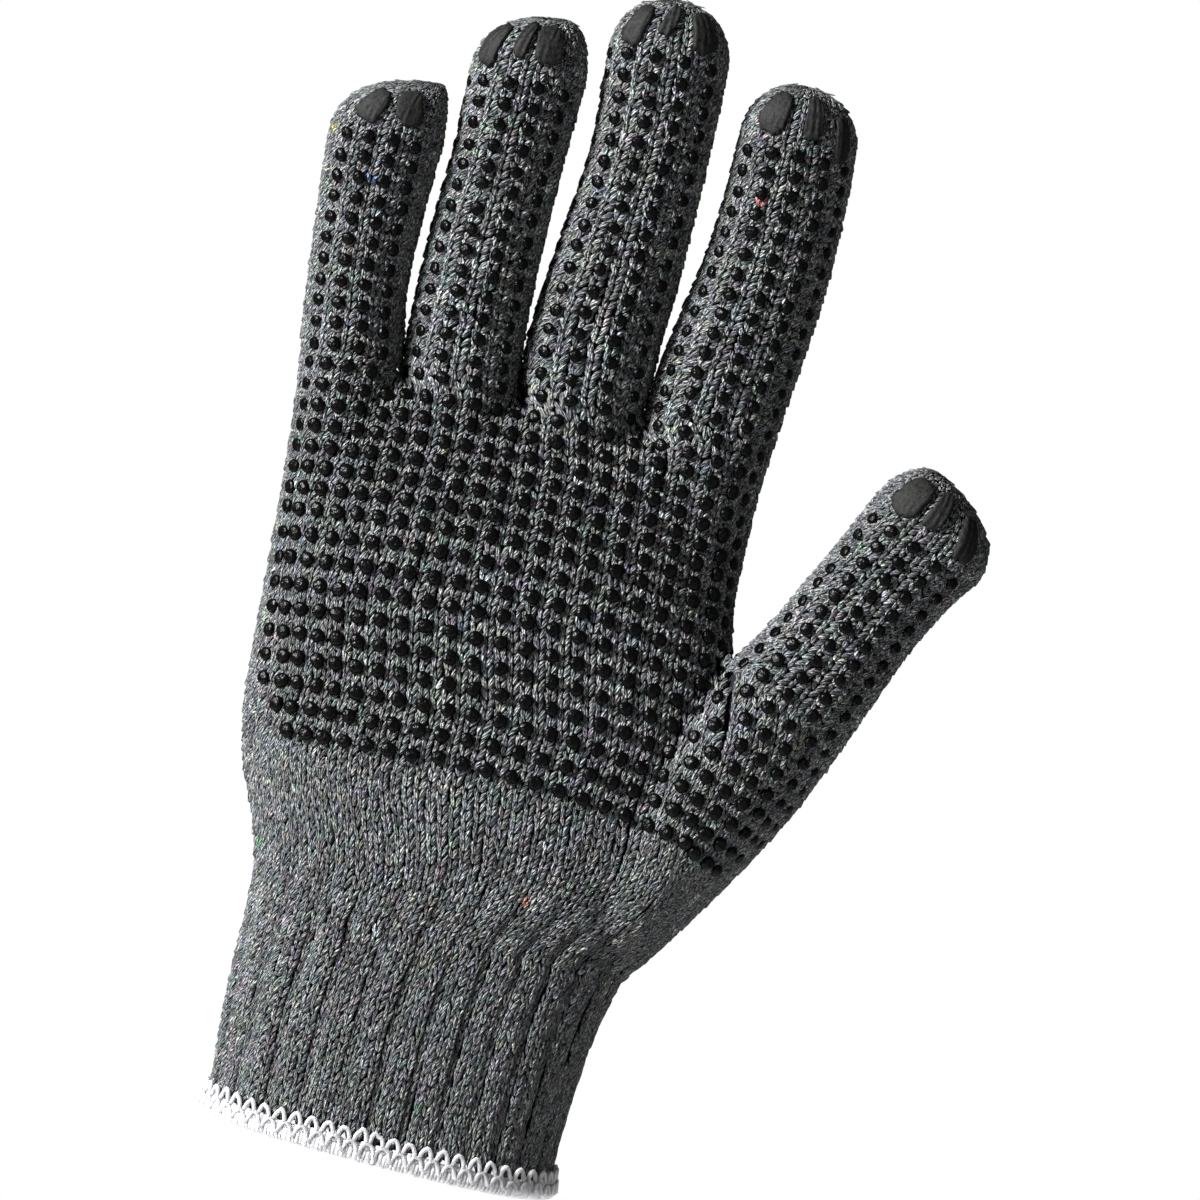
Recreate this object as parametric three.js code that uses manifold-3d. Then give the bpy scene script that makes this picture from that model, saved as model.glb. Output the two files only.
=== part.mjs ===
// A knitted work glove for the right hand, shown as it stands when a hand fills it.
// It is one seamless tube of thick yarn: a cuff, a hand, four fingers and a thumb. The wrist has an
// overlocked hem, and the fingertips carry flat grip pads on the palm side.
// Millimetres. +Z runs from the wrist to the fingertips, the palm faces -Y and the thumb is on +X.
// The origin is the centre of the wrist opening, where the hand goes in.
import * as THREE from "three";
import { mergeVertices } from "three/addons/utils/BufferGeometryUtils.js";
import Module from "manifold-3d";

const wasm = await Module();
wasm.setup();

// Driving sizes.
const WALL = 2.0; // thickness of the knit
const GAP = 0.3; // clear space between two pieces
const HEM_HEIGHT = 7.3;
const HEM_TILT = 0.05; // the hem rises this much for each millimetre towards the little finger's side
const CUFF_TOP = 54;
const FINGER_BASE = 163;
const THUMB_LEAN = THREE.MathUtils.degToRad(28); // the thumb's axis, from +Z towards +X
const THUMB_BASE = 130; // where the thumb starts, along its own axis
const THUMB_SIDE = -11; // the hand keeps what lies left of this, across the thumb's axis
const PAD_THICKNESS = 0.7;
const PAD_CLEAR = 0.2; // a pad stands on the tops of the stitches, clear of the plain wall
const PAD_FRONT = 3; // a pad lies more than this in front of its digit's middle
const TINY = 1e-4; // points closer than this are one point
const FAR = 300; // past every edge of the glove

// How finely the curved forms are cut.
const FINGER_FACETS = 20;
const HAND_FACETS = 36;
const TIP_STEPS = 4;
const TIP_FLAT = 0.3; // the last ring stops this share of a step short, which leaves a small flat end
const PAD_FACETS = 12;

// How square a section is: 2 is an ellipse, and more is squarer.
const HAND_SQUARENESS = 2.5;
const FINGER_SQUARENESS = 2.15;
const TIP_BLUNTNESS = 2.3;

// Cross-sections. Each row: height along the piece, left and right edge, depth from front to back,
// and how far the section's middle stands towards the back (+) or the palm (-).
const row = (along, left, right, depth, back) => ({ along, left, right, depth, back });

const HAND_ROWS = [
  row(0, -36.6, 36.2, 47, 0),
  row(10, -36.8, 36.4, 46.5, 0),
  row(22, -37.4, 37.4, 45.5, 0),
  row(34, -37.4, 39.0, 43.5, 0),
  row(44, -36.9, 41.0, 42, 0),
  row(54, -37.2, 45.0, 41, -0.5),
  row(63, -39.8, 49.5, 41, -0.9),
  row(73, -44.0, 53.0, 40.5, -1.0),
  row(86, -46.4, 55.0, 39, -1.0),
  row(100, -46.8, 54.5, 37, -0.6),
  row(112, -47.1, 51.4, 35, 0),
  row(124, -47.5, 48.5, 33.5, 0.5),
  row(138, -48.0, 48.1, 31.5, 1.0),
  row(149, -48.8, 48.6, 29, 1.0),
  row(156, -49.4, 49.2, 25, 0.9),
  row(160, -49.0, 49.0, 17, 0.8),
];
const DIGITS = {
  little_finger: {
    tip: 216.4,
    rows: [
      row(128, -46.0, -24.0, 18, 0.8),
      row(148, -48.4, -26.0, 25, 0.8),
      row(160, -50.0, -28.2, 25, 0.7),
      row(172, -51.3, -30.0, 23.5, 0.3),
      row(188, -52.5, -30.7, 22, -1.2),
      row(203.5, -53.4, -29.5, 20.5, -4.2),
    ],
  },
  ring_finger: {
    tip: 234.8,
    rows: [
      row(128, -22.5, -1.0, 20, 1.0),
      row(148, -25.5, -1.5, 28, 1.0),
      row(160, -28.0, -3.0, 27.5, 1.0),
      row(174, -29.3, -4.7, 25.5, 0.6),
      row(190, -28.9, -5.3, 23.5, -0.8),
      row(208, -27.8, -4.4, 22, -3.8),
      row(222, -27.6, -3.5, 21, -6.8),
    ],
  },
  middle_finger: {
    tip: 243.8,
    rows: [
      row(128, 1.0, 22.0, 20, 1.2),
      row(148, -0.5, 22.5, 28.5, 1.2),
      row(160, -2.6, 22.0, 28, 1.2),
      row(175, -4.4, 22.5, 26, 0.8),
      row(192, -2.9, 24.0, 24, -0.8),
      row(212, -0.4, 24.3, 22.5, -4.2),
      row(231, -1.0, 24.6, 21.5, -8.2),
    ],
  },
  index_finger: {
    tip: 232.2,
    rows: [
      row(128, 25.0, 46.5, 20, 0.8),
      row(148, 23.5, 48.4, 27.5, 0.8),
      row(164, 22.8, 50.2, 27.5, 0.8),
      row(178, 24.1, 52.1, 25.5, 0.6),
      row(194, 27.3, 53.6, 23.5, -1.0),
      row(208, 28.7, 54.1, 22.5, -3.4),
      row(219.5, 28.9, 53.8, 21.5, -6.2),
    ],
  },
  // The thumb's rows are measured in its own leaning frame.
  thumb: {
    tip: 181.2,
    frame: new THREE.Matrix4().makeRotationY(THUMB_LEAN),
    rows: [
      row(56, -2.0, 15.3, 20, -1.0),
      row(66, -5.0, 17.4, 28, -1.8),
      row(80, -8.0, 19.0, 34, -2.6),
      row(94, -10.0, 20.4, 36, -3.4),
      row(108, -10.8, 21.0, 35, -4.4),
      row(122, -9.8, 20.3, 32, -5.8),
      row(134, -8.6, 19.1, 28.5, -7.4),
      row(150, -8.5, 17.7, 25.5, -9.4),
      row(160, -8.7, 17.9, 24, -10.8),
      row(168.5, -9.0, 19.2, 23.5, -12.2),
    ],
  },
};

// Grip pads at the fingertips. Each row: the digit, the pad's middle across and along the glove,
// its width and length, and its lean from +Z towards +X in degrees.
const pad = (digit, x, z, width, length, lean) => ({ digit, x, z, width, length, lean });
const PADS = {
  little_pad_outer: pad("little_finger", -45.3, 210.0, 5.0, 7.8, 28),
  little_pad_inner: pad("little_finger", -37.6, 211.0, 5.4, 7.6, -8),
  ring_pad_outer: pad("ring_finger", -23.8, 227.4, 4.6, 9.6, 18),
  ring_pad_middle: pad("ring_finger", -17.8, 229.4, 2.7, 8.4, 13),
  ring_pad_inner: pad("ring_finger", -12.3, 229.0, 5.4, 8.6, -7),
  middle_pad_outer: pad("middle_finger", 4.2, 237.4, 4.7, 9.4, 18),
  middle_pad_middle: pad("middle_finger", 11.1, 239.4, 2.7, 7.4, 16),
  middle_pad_inner: pad("middle_finger", 18.1, 237.6, 5.2, 9.0, -15),
  index_pad_outer: pad("index_finger", 35.5, 225.6, 5.7, 9.4, 13),
  index_pad_middle: pad("index_finger", 43.5, 226.0, 3.7, 9.6, -4),
  index_pad_inner: pad("index_finger", 50.2, 222.6, 3.4, 9.6, -18),
  thumb_pad_outer: pad("thumb", 78.9, 154.4, 6.8, 9.4, 36),
  thumb_pad_middle: pad("thumb", 85.1, 152.6, 3.7, 9.4, 24),
  thumb_pad_inner: pad("thumb", 92.0, 148.2, 4.4, 9.6, 6),
};

// One closed ring of points round a section, taken in by inset on every side.
function ring(section, inset, facets, squareness) {
  const middle = (section.left + section.right) / 2;
  const halfWidth = (section.right - section.left) / 2 - inset;
  const halfDepth = section.depth / 2 - inset;
  const round = (value) => Math.sign(value) * Math.abs(value) ** (2 / squareness);
  return Array.from({ length: facets }, (_, i) => {
    const turn = (2 * Math.PI * i) / facets;
    return new THREE.Vector3(
      middle + halfWidth * round(Math.cos(turn)),
      section.back + halfDepth * round(Math.sin(turn)),
      section.along,
    );
  });
}

// The faces that join ring after ring, each one to the next in the list.
function bands(ringCount, facets, closed) {
  const faces = [];
  const bandCount = closed ? ringCount : ringCount - 1;
  for (let r = 0; r < bandCount; r++) {
    const low = r * facets;
    const high = ((r + 1) % ringCount) * facets;
    for (let i = 0; i < facets; i++) {
      const next = (i + 1) % facets;
      faces.push(low + i, low + next, high + next);
      faces.push(low + i, high + next, high + i);
    }
  }
  return faces;
}

function skin(points, faces) {
  const positions = new Float32Array(points.flatMap((p) => p.toArray()));
  return new THREE.BufferGeometry()
    .setAttribute("position", new THREE.BufferAttribute(positions, 3))
    .setIndex(faces);
}

// A closed skin through rings that lie one above another, with a flat fan over each end.
function loft(rings) {
  const facets = rings[0].length;
  const faces = bands(rings.length, facets, false);
  const middleOf = (r) => r.reduce((sum, p) => sum.add(p), new THREE.Vector3()).divideScalar(facets);
  const points = rings.flat();
  const last = points.length - facets;
  const bottom = points.push(middleOf(rings[0])) - 1;
  const top = points.push(middleOf(rings.at(-1))) - 1;
  for (let i = 0; i < facets; i++) {
    const next = (i + 1) % facets;
    faces.push(bottom, next, i);
    faces.push(top, last + i, last + next);
  }
  return skin(points, faces);
}

function solidOf(geometry) {
  const bare = geometry.clone();
  bare.deleteAttribute("normal");
  bare.deleteAttribute("uv");
  const merged = mergeVertices(bare, TINY);
  return new wasm.Manifold(
    new wasm.Mesh({
      numProp: 3,
      vertProperties: merged.attributes.position.array,
      triVerts: new Uint32Array(merged.index.array),
    }),
  );
}

function geometryOf(solid) {
  const mesh = solid.getMesh();
  return new THREE.BufferGeometry()
    .setAttribute("position", new THREE.BufferAttribute(mesh.vertProperties, 3))
    .setIndex(new THREE.BufferAttribute(mesh.triVerts, 1));
}

// A digit as a filled form. Over its tip the rings shrink as they rise, so that it ends bluntly.
function filledDigit(digit, inset) {
  const rings = digit.rows.map((section) => ring(section, inset, FINGER_FACETS, FINGER_SQUARENESS));
  const last = digit.rows.at(-1);
  const before = digit.rows.at(-2);
  const curl = (last.back - before.back) / (last.along - before.along);
  const reach = digit.tip - inset - last.along;
  const middle = (last.left + last.right) / 2;
  for (let step = 1; step <= TIP_STEPS; step++) {
    const rise = Math.sin(((Math.PI / 2) * step) / (TIP_STEPS + TIP_FLAT));
    const shrink = (1 - rise ** TIP_BLUNTNESS) ** (1 / TIP_BLUNTNESS);
    const along = last.along + reach * rise;
    const halfWidth = ((last.right - last.left) / 2 - inset) * shrink;
    const depth = (last.depth - 2 * inset) * shrink;
    const back = last.back + curl * (along - last.along);
    const section = row(along, middle - halfWidth, middle + halfWidth, depth, back);
    rings.push(ring(section, 0, FINGER_FACETS, FINGER_SQUARENESS));
  }
  const form = loft(rings);
  return solidOf(digit.frame ? form.applyMatrix4(digit.frame) : form);
}

// The whole glove as a filled form: inset 0 is its outside, and inset WALL is the room for the hand.
function filledGlove(inset) {
  const rings = HAND_ROWS.map((section, i) => {
    const isTop = i === HAND_ROWS.length - 1;
    const lowered = isTop ? { ...section, along: section.along - inset } : section;
    return ring(lowered, inset, HAND_FACETS, HAND_SQUARENESS);
  });
  const hand = solidOf(loft(rings));
  return Object.values(DIGITS).reduce((whole, digit) => whole.add(filledDigit(digit, inset)), hand);
}

// A plain block, used to part the glove into its pieces.
function block(low, high, frame = new THREE.Matrix4()) {
  const size = high.map((value, i) => value - low[i]);
  const middle = high.map((value, i) => (value + low[i]) / 2);
  return solidOf(new THREE.BoxGeometry(...size).translate(...middle).applyMatrix4(frame));
}
const half = GAP / 2;
const slab = (bottom, top) => block([-FAR, -FAR, bottom], [FAR, FAR, top]);
const hemFrame = new THREE.Matrix4().makeRotationY(Math.atan(HEM_TILT));
const belowCuff = block([-FAR, -FAR, -FAR], [FAR, FAR, HEM_HEIGHT + GAP], hemFrame);
const thumbZone = (grow) =>
  block([THUMB_SIDE - grow, -FAR, THUMB_BASE - grow], [FAR, FAR, FAR], DIGITS.thumb.frame);

// The knit, parted at the cuff's top, at the fingers' base and round the thumb.
const knit = filledGlove(0).subtract(filledGlove(WALL)).subtract(belowCuff);
const knitPieces = {
  cuff: knit.intersect(slab(0, CUFF_TOP - half)),
  hand: knit.intersect(slab(CUFF_TOP + half, FINGER_BASE - half)).subtract(thumbZone(half)),
  thumb: knit.intersect(thumbZone(-half)),
};

// Each finger is a tube. Where two touch at their fork, the second keeps clear of the first.
const aboveBase = slab(FINGER_BASE + half, FAR).subtract(thumbZone(half));
const FINGERS = ["little_finger", "ring_finger", "middle_finger", "index_finger"];
FINGERS.forEach((name, i) => {
  const tube = filledDigit(DIGITS[name], 0).subtract(filledDigit(DIGITS[name], WALL));
  const neighbour = i > 0 && filledDigit(DIGITS[FINGERS[i - 1]], -GAP);
  const piece = tube.intersect(aboveBase);
  knitPieces[name] = neighbour ? piece.subtract(neighbour) : piece;
});

// The hem: a thick band of edging wrapped over the cuff's raw edge, with a round lower lip.
// Each corner of its profile: how far it stands proud of the cuff's outside, and its height.
const corner = (proud, height) => ({ proud, height });
const HEM_PROFILE = [
  corner(0.7, HEM_HEIGHT),
  corner(1.1, 4.0),
  corner(1.1, 1.8),
  corner(0.5, 0.5),
  corner(-WALL / 2, 0),
  corner(-WALL - 0.5, 0.5),
  corner(-WALL - 1.1, 1.8),
  corner(-WALL - 1.1, 4.0),
  corner(-WALL - 0.7, HEM_HEIGHT),
];
const hemRings = HEM_PROFILE.map(({ proud, height }) =>
  ring({ ...HAND_ROWS[0], along: height }, -proud, HAND_FACETS, HAND_SQUARENESS),
);
const hemFaces = bands(hemRings.length, HAND_FACETS, true).reverse();
const hem = skin(hemRings.flat(), hemFaces).applyMatrix4(hemFrame);

// A pad: the part of a thin shell round its digit that lies behind an ellipse on the palm side.
const shells = Object.fromEntries(
  Object.entries(DIGITS).map(([name, digit]) => [
    name,
    filledDigit(digit, -PAD_CLEAR - PAD_THICKNESS).subtract(filledDigit(digit, -PAD_CLEAR)),
  ]),
);
function padSolid({ digit, x, z, width, length, lean }) {
  const reach = FAR / 5;
  const start = DIGITS[digit].rows.at(-1).back - PAD_FRONT;
  const prism = new THREE.CylinderGeometry(0.5, 0.5, reach, PAD_FACETS)
    .scale(width, 1, length)
    .rotateY(THREE.MathUtils.degToRad(lean))
    .translate(x, start - reach / 2, z);
  return shells[digit].intersect(solidOf(prism));
}

// Finishes.
const greyYarn = new THREE.MeshStandardMaterial({ color: 0x4a4c50, roughness: 0.95, metalness: 0 });
const whiteYarn = new THREE.MeshStandardMaterial({ color: 0xd9dadd, roughness: 0.9, metalness: 0 });
const blackGrip = new THREE.MeshStandardMaterial({ color: 0x1c1c1f, roughness: 0.6, metalness: 0 });

const glove = new THREE.Group();
function place(name, geometry, material) {
  const mesh = new THREE.Mesh(geometry, material);
  mesh.name = name;
  glove.add(mesh);
}
place("hem", hem, whiteYarn);
for (const [name, solid] of Object.entries(knitPieces)) place(name, geometryOf(solid), greyYarn);
for (const [name, where] of Object.entries(PADS)) place(name, geometryOf(padSolid(where)), blackGrip);

export default glove;
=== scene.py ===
import math
from functools import partial

import bpy
import numpy as np
from mathutils import Matrix, Vector


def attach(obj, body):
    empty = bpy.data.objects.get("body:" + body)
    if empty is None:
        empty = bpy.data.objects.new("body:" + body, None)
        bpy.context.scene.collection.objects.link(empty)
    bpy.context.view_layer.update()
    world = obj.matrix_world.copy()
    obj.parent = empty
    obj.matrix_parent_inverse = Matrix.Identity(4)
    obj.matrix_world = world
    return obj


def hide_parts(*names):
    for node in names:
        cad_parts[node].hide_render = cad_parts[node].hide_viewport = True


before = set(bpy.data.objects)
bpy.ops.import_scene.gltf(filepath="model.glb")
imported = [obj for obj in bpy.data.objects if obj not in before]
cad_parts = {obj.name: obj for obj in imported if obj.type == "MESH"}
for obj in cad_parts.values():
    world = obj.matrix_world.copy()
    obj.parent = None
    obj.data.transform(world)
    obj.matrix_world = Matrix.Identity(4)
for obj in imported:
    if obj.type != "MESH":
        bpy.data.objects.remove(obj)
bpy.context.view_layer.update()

# The view. The glove stands upright on the wrist that fills it and leans 12 degrees in the picture, so
# the camera looks straight at the palm and is rolled. The room is white, with one large soft lamp high
# on the left, a weak one low on the right, and a pale floor below the glove.
scene = bpy.context.scene
scene.view_settings.view_transform = "Standard"
MM = 0.001
AIM = Vector((21.2, 0.0, 120.6)) * MM
VIEW_DISTANCE = 2.4
VIEW_WIDTH = 0.246
ROLL = math.radians(12)

camera_data = bpy.data.cameras.new("camera")
camera_data.lens = camera_data.sensor_width * VIEW_DISTANCE / VIEW_WIDTH
camera = bpy.data.objects.new("camera", camera_data)
scene.collection.objects.link(camera)
across = Vector((math.cos(ROLL), 0, math.sin(ROLL)))
upward = Vector((-math.sin(ROLL), 0, math.cos(ROLL)))
camera.matrix_world = Matrix.Translation(AIM + Vector((0, -VIEW_DISTANCE, 0))) @ Matrix(
    (across, upward, Vector((0, -1, 0)))
).transposed().to_4x4()
scene.camera = camera


def soft_lamp(name, place, size, watts):
    # A round lamp that faces the middle of the glove.
    data = bpy.data.lights.new(name, "AREA")
    data.shape = "DISK"
    data.size = size
    data.energy = watts
    lamp = bpy.data.objects.new(name, data)
    lamp.location = place
    lamp.rotation_euler = (AIM - Vector(place)).to_track_quat("-Z", "Y").to_euler()
    scene.collection.objects.link(lamp)


soft_lamp("lamp_high_left", (-1.0, -0.64, 0.62), 0.35, 80)
soft_lamp("lamp_low_right", (0.8, -0.9, 0.1), 0.9, 2.2)


def link(tree, *ends):
    for source, target in ends:
        tree.links.new(source, target)


def node(tree, kind, **values):
    made = tree.nodes.new(kind)
    for key, value in values.items():
        if key in made.inputs:
            made.inputs[key].default_value = value
        else:
            setattr(made, key, value)
    return made


# The camera sees pure white behind the glove, and the glove is lit by a much weaker white.
ROOM_LIGHT = 0.155
WHITE = (1, 1, 1, 1)
world = bpy.data.worlds.new("white_room")
scene.world = world
world.use_nodes = True
room = world.node_tree
room.nodes.clear()
seen = node(room, "ShaderNodeBackground", Strength=1.0, Color=WHITE)
felt = node(room, "ShaderNodeBackground", Strength=ROOM_LIGHT, Color=WHITE)
ray = node(room, "ShaderNodeLightPath")
choose = node(room, "ShaderNodeMixShader")
room_output = node(room, "ShaderNodeOutputWorld")
link(
    room,
    (ray.outputs["Is Camera Ray"], choose.inputs["Fac"]),
    (felt.outputs[0], choose.inputs[1]),
    (seen.outputs[0], choose.inputs[2]),
    (choose.outputs[0], room_output.inputs["Surface"]),
)


def new_material(name, rough, color=(0.8, 0.8, 0.8)):
    made = bpy.data.materials.new(name)
    made.use_nodes = True
    shader = made.node_tree.nodes["Principled BSDF"]
    shader.inputs["Roughness"].default_value = rough
    shader.inputs["Base Color"].default_value = (*color, 1)
    return made, made.node_tree, shader


FLOOR_HALF = 0.35
FLOOR_DROP = 0.125
floor_mesh = bpy.data.meshes.new("floor")
floor_mesh.from_pydata(
    [(x * FLOOR_HALF, y * FLOOR_HALF, -FLOOR_DROP) for x, y in ((-1, -1), (1, -1), (1, 1), (-1, 1))],
    [],
    [(0, 1, 2, 3)],
)
floor_paint, _, _ = new_material("pale_floor", 0.8, (0.75, 0.75, 0.74))
floor_mesh.materials.append(floor_paint)
floor = bpy.data.objects.new("floor", floor_mesh)
scene.collection.objects.link(floor)

# The inner layer of the knit: the yarn that lies behind the stitches' legs, painted near black outside as
# painted shade for the gaps between stitches. It is the glove's whole form, from the wrist to the five
# tips, as one thin wall that is hollow and open at the wrist.
# Each section of the hand or of a digit: height, left and right edge, depth, and how far it stands back.
HAND = np.array([
    (0, -36.6, 36.2, 47, 0), (10, -36.8, 36.4, 46.5, 0), (22, -37.4, 37.4, 45.5, 0),
    (34, -37.4, 39.0, 43.5, 0), (44, -36.9, 41.6, 42, 0), (54, -37.2, 45.0, 41, -0.5),
    (63, -39.8, 49.5, 41, -0.9), (73, -44.0, 53.0, 40.5, -1.0), (86, -46.4, 55.0, 39, -1.0),
    (100, -46.8, 54.5, 37, -0.6), (112, -47.1, 51.4, 35, 0), (124, -47.5, 48.5, 33.5, 0.5),
    (138, -48.1, 48.5, 31.5, 1.0), (149, -48.8, 49.0, 28.5, 1.0), (154, -49.4, 49.4, 24, 0.9),
    (158.5, -49.8, 49.7, 9, 0.8),
])
LITTLE = np.array([
    (128, -46.0, -24.0, 18, 0.8), (148, -48.6, -26.8, 25, 0.8), (160, -50.2, -28.2, 25, 0.7),
    (166, -50.9, -28.9, 24.2, 0.5), (170, -51.2, -29.9, 23.8, 0.4), (176, -51.8, -30.5, 23, 0.0),
    (188, -52.6, -30.3, 22, -1.2), (196, -53.2, -29.9, 21.2, -2.6), (203.5, -53.3, -29.3, 20.5, -4.2),
])
RING = np.array([
    (128, -22.5, -1.0, 20, 1.0), (148, -26.6, -1.8, 28, 1.0), (160, -28.9, -3.6, 27.5, 1.0),
    (166, -29.2, -4.3, 26.5, 0.8), (172, -29.2, -4.9, 25.7, 0.6), (190, -28.9, -4.8, 23.5, -0.8),
    (200, -28.0, -4.5, 22.6, -2.4), (208, -27.6, -4.1, 22, -3.8), (222, -27.6, -3.3, 21, -6.8),
])
MIDDLE = np.array([
    (128, 1.0, 22.0, 20, 1.2), (148, -2.4, 21.9, 28.5, 1.2), (160, -4.6, 22.5, 28, 1.2),
    (167, -5.1, 22.9, 27, 1.0), (175, -4.7, 22.9, 26, 0.8), (184, -3.7, 23.8, 25, 0.2),
    (192, -2.7, 24.2, 24, -0.8), (200, -1.5, 24.3, 23.4, -2.2), (210, -0.3, 24.6, 22.6, -3.9),
    (222, -0.4, 24.8, 22, -6.2), (231, -0.9, 24.6, 21.5, -8.2),
])
INDEX = np.array([
    (128, 25.0, 46.5, 20, 0.8), (148, 22.6, 48.8, 27.5, 0.8), (160, 21.7, 50.1, 27.6, 0.8),
    (168, 22.3, 51.0, 27, 0.8), (174, 23.3, 51.9, 26.2, 0.7), (186, 25.6, 53.3, 24.4, -0.1),
    (194, 27.3, 53.9, 23.5, -1.0), (208, 28.7, 54.3, 22.5, -3.4), (219.5, 28.9, 53.8, 21.5, -6.2),
])
THUMB = np.array([
    (56, -2.0, 15.3, 20, -1.0), (66, -5.0, 17.4, 28, -1.8), (80, -8.0, 19.0, 34, -2.6),
    (94, -10.0, 20.4, 36, -3.4), (108, -10.8, 21.0, 35, -4.4), (122, -9.8, 20.3, 32, -5.8),
    (134, -8.6, 19.1, 28.5, -7.4), (150, -8.5, 17.7, 25.5, -9.4), (160, -8.7, 17.9, 24, -10.8),
    (168.5, -9.0, 19.2, 23.5, -12.2),
])
TIPS = {"little": 217.0, "ring": 235.0, "middle": 243.7, "index": 232.0, "thumb": 180.8}
TIP_SKEW = {"little": 0.75, "ring": 0.45, "middle": 0.0, "index": -0.05, "thumb": -0.4}
HAND_SQUARENESS = 2.5
FINGER_SQUARENESS = 2.15
TIP_BLUNTNESS = 2.18
THINNEST = 0.05
SECTION_STEP = 0.5
EASED_OVER = 8
THUMB_LEAN = math.radians(28)
lean_cos = math.cos(THUMB_LEAN)
lean_sin = math.sin(THUMB_LEAN)


def smoothed(rows):
    # The sections half a millimetre apart, with the corners between the measured ones eased.
    fine = np.arange(rows[0, 0], rows[-1, 0] + 0.01, SECTION_STEP)
    soft = [fine]
    window = 2 * EASED_OVER + 1
    for column in range(1, 5):
        values = np.interp(fine, rows[:, 0], rows[:, column])
        slope_in = (values[1] - values[0]) * np.arange(-EASED_OVER, 0) + values[0]
        slope_out = (values[-1] - values[-2]) * np.arange(1, EASED_OVER + 1) + values[-1]
        padded = np.concatenate([slope_in, values, slope_out])
        soft.append(np.convolve(padded, np.ones(window) / window, "valid"))
    return np.array(soft).T


SECTIONS = {
    "hand": smoothed(HAND), "little": smoothed(LITTLE), "ring": smoothed(RING),
    "middle": smoothed(MIDDLE), "index": smoothed(INDEX), "thumb": smoothed(THUMB),
}


def section(name, along):
    # Middle, half width, half depth and setback of a form at the heights given, over its tip too.
    rows = SECTIONS[name]
    left, right, depth, back = (np.interp(along, rows[:, 0], rows[:, c]) for c in range(1, 5))
    middle = (left + right) / 2
    half_width = (right - left) / 2
    half_depth = depth / 2
    if name in TIPS:
        last, below = rows[-1], rows[-1 - EASED_OVER]
        over = np.clip((along - last[0]) / (TIPS[name] - last[0]), 0, 1)
        shrink = (1 - over**TIP_BLUNTNESS) ** (1 / TIP_BLUNTNESS)
        curl = (last[4] - below[4]) / (last[0] - below[0])
        middle = middle + TIP_SKEW[name] * half_width * (1 - shrink)
        half_width = half_width * shrink
        half_depth = half_depth * shrink
        back = back + curl * np.maximum(along - last[0], 0)
    return middle, half_width, half_depth, back


def outline(name, along, turn, inset=0.0):
    # A point of a form's outside. The turn is 0 at the palm side and 90 degrees at the right edge.
    middle, half_width, half_depth, back = section(name, along)
    power = 2 / (HAND_SQUARENESS if name == "hand" else FINGER_SQUARENESS)
    side = np.sign(np.sin(turn)) * np.abs(np.sin(turn)) ** power
    front = np.sign(np.cos(turn)) * np.abs(np.cos(turn)) ** power
    x = middle + np.maximum(half_width - inset, THINNEST) * side
    y = back - np.maximum(half_depth - inset, THINNEST) * front
    z = along + 0 * x
    if name == "thumb":
        x, z = x * lean_cos + z * lean_sin, -x * lean_sin + z * lean_cos
    return np.stack([x, y, z], axis=-1)


# How far the layer lies below the stitches' face: on the hand, on the digits, and more in the cuff, whose
# folds reach up to the two heights given.
LAYER_INSET = 1.5
DIGIT_INSET = 2.3
CUFF_INSET = 0.9
FOLD_TOP = (44, 68)
LAYER_THICKNESS = 1.0
LAYER_VOXEL = 1.7
FORM_SIDES = 48
FORM_RISE = 3.0
TIP_RINGS = 9
TIP_REACH = math.radians(86)
WRIST_TILT = 0.05
rng = np.random.default_rng(7)


def ring_faces(first, rings, sides):
    # Faces between rings of points that lie one above the other, from the point numbered first.
    faces = []
    for r in range(rings - 1):
        for i in range(sides):
            low, j = first + r * sides, (i + 1) % sides
            faces.append((low + i, low + j, low + sides + j, low + sides + i))
    return faces


def filled_form(name, inset):
    # The hand or a digit as a closed solid, a little inside its outline.
    rows = SECTIONS[name]
    top = TIPS.get(name, rows[-1, 0]) - inset
    heights = list(np.arange(rows[0, 0], rows[-1, 0], FORM_RISE))
    if name in TIPS:
        rise = np.sin(np.linspace(0, TIP_REACH, TIP_RINGS))
        heights += list(rows[-1, 0] + (top - rows[-1, 0]) * rise)
    else:
        heights.append(top)
    n = FORM_SIDES
    turns = np.linspace(0, 2 * math.pi, n, endpoint=False)
    more = CUFF_INSET if name == "hand" else 0.0
    points = [outline(name, np.full(n, h), turns, inset + more * np.interp(h, FOLD_TOP, (1, 0)))
              for h in heights]
    faces = ring_faces(0, len(points), n)
    faces.append(tuple(range(n - 1, -1, -1)))
    faces.append(tuple(range((len(points) - 1) * n, len(points) * n)))
    return np.concatenate(points), faces


def joined(forms):
    # The points and faces of several forms as one form's.
    points, faces = [], []
    for form_points, form_faces in forms:
        faces += [tuple(v + len(points) for v in face) for face in form_faces]
        points += list(form_points)
    return points, faces


def mesh_object(name, points, faces):
    mesh = bpy.data.meshes.new(name)
    mesh.from_pydata((np.asarray(points) * MM).tolist(), [], faces)
    made = bpy.data.objects.new(name, mesh)
    scene.collection.objects.link(made)
    return made


def settle(worked):
    # The modifiers' result becomes the piece's own mesh, and the modifiers go.
    depsgraph = bpy.context.evaluated_depsgraph_get()
    result = bpy.data.meshes.new_from_object(worked.evaluated_get(depsgraph), depsgraph=depsgraph)
    worked.modifiers.clear()
    worked.data = result
    return worked


def smooth_shading(piece):
    piece.data.polygons.foreach_set("use_smooth", [True] * len(piece.data.polygons))


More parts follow.
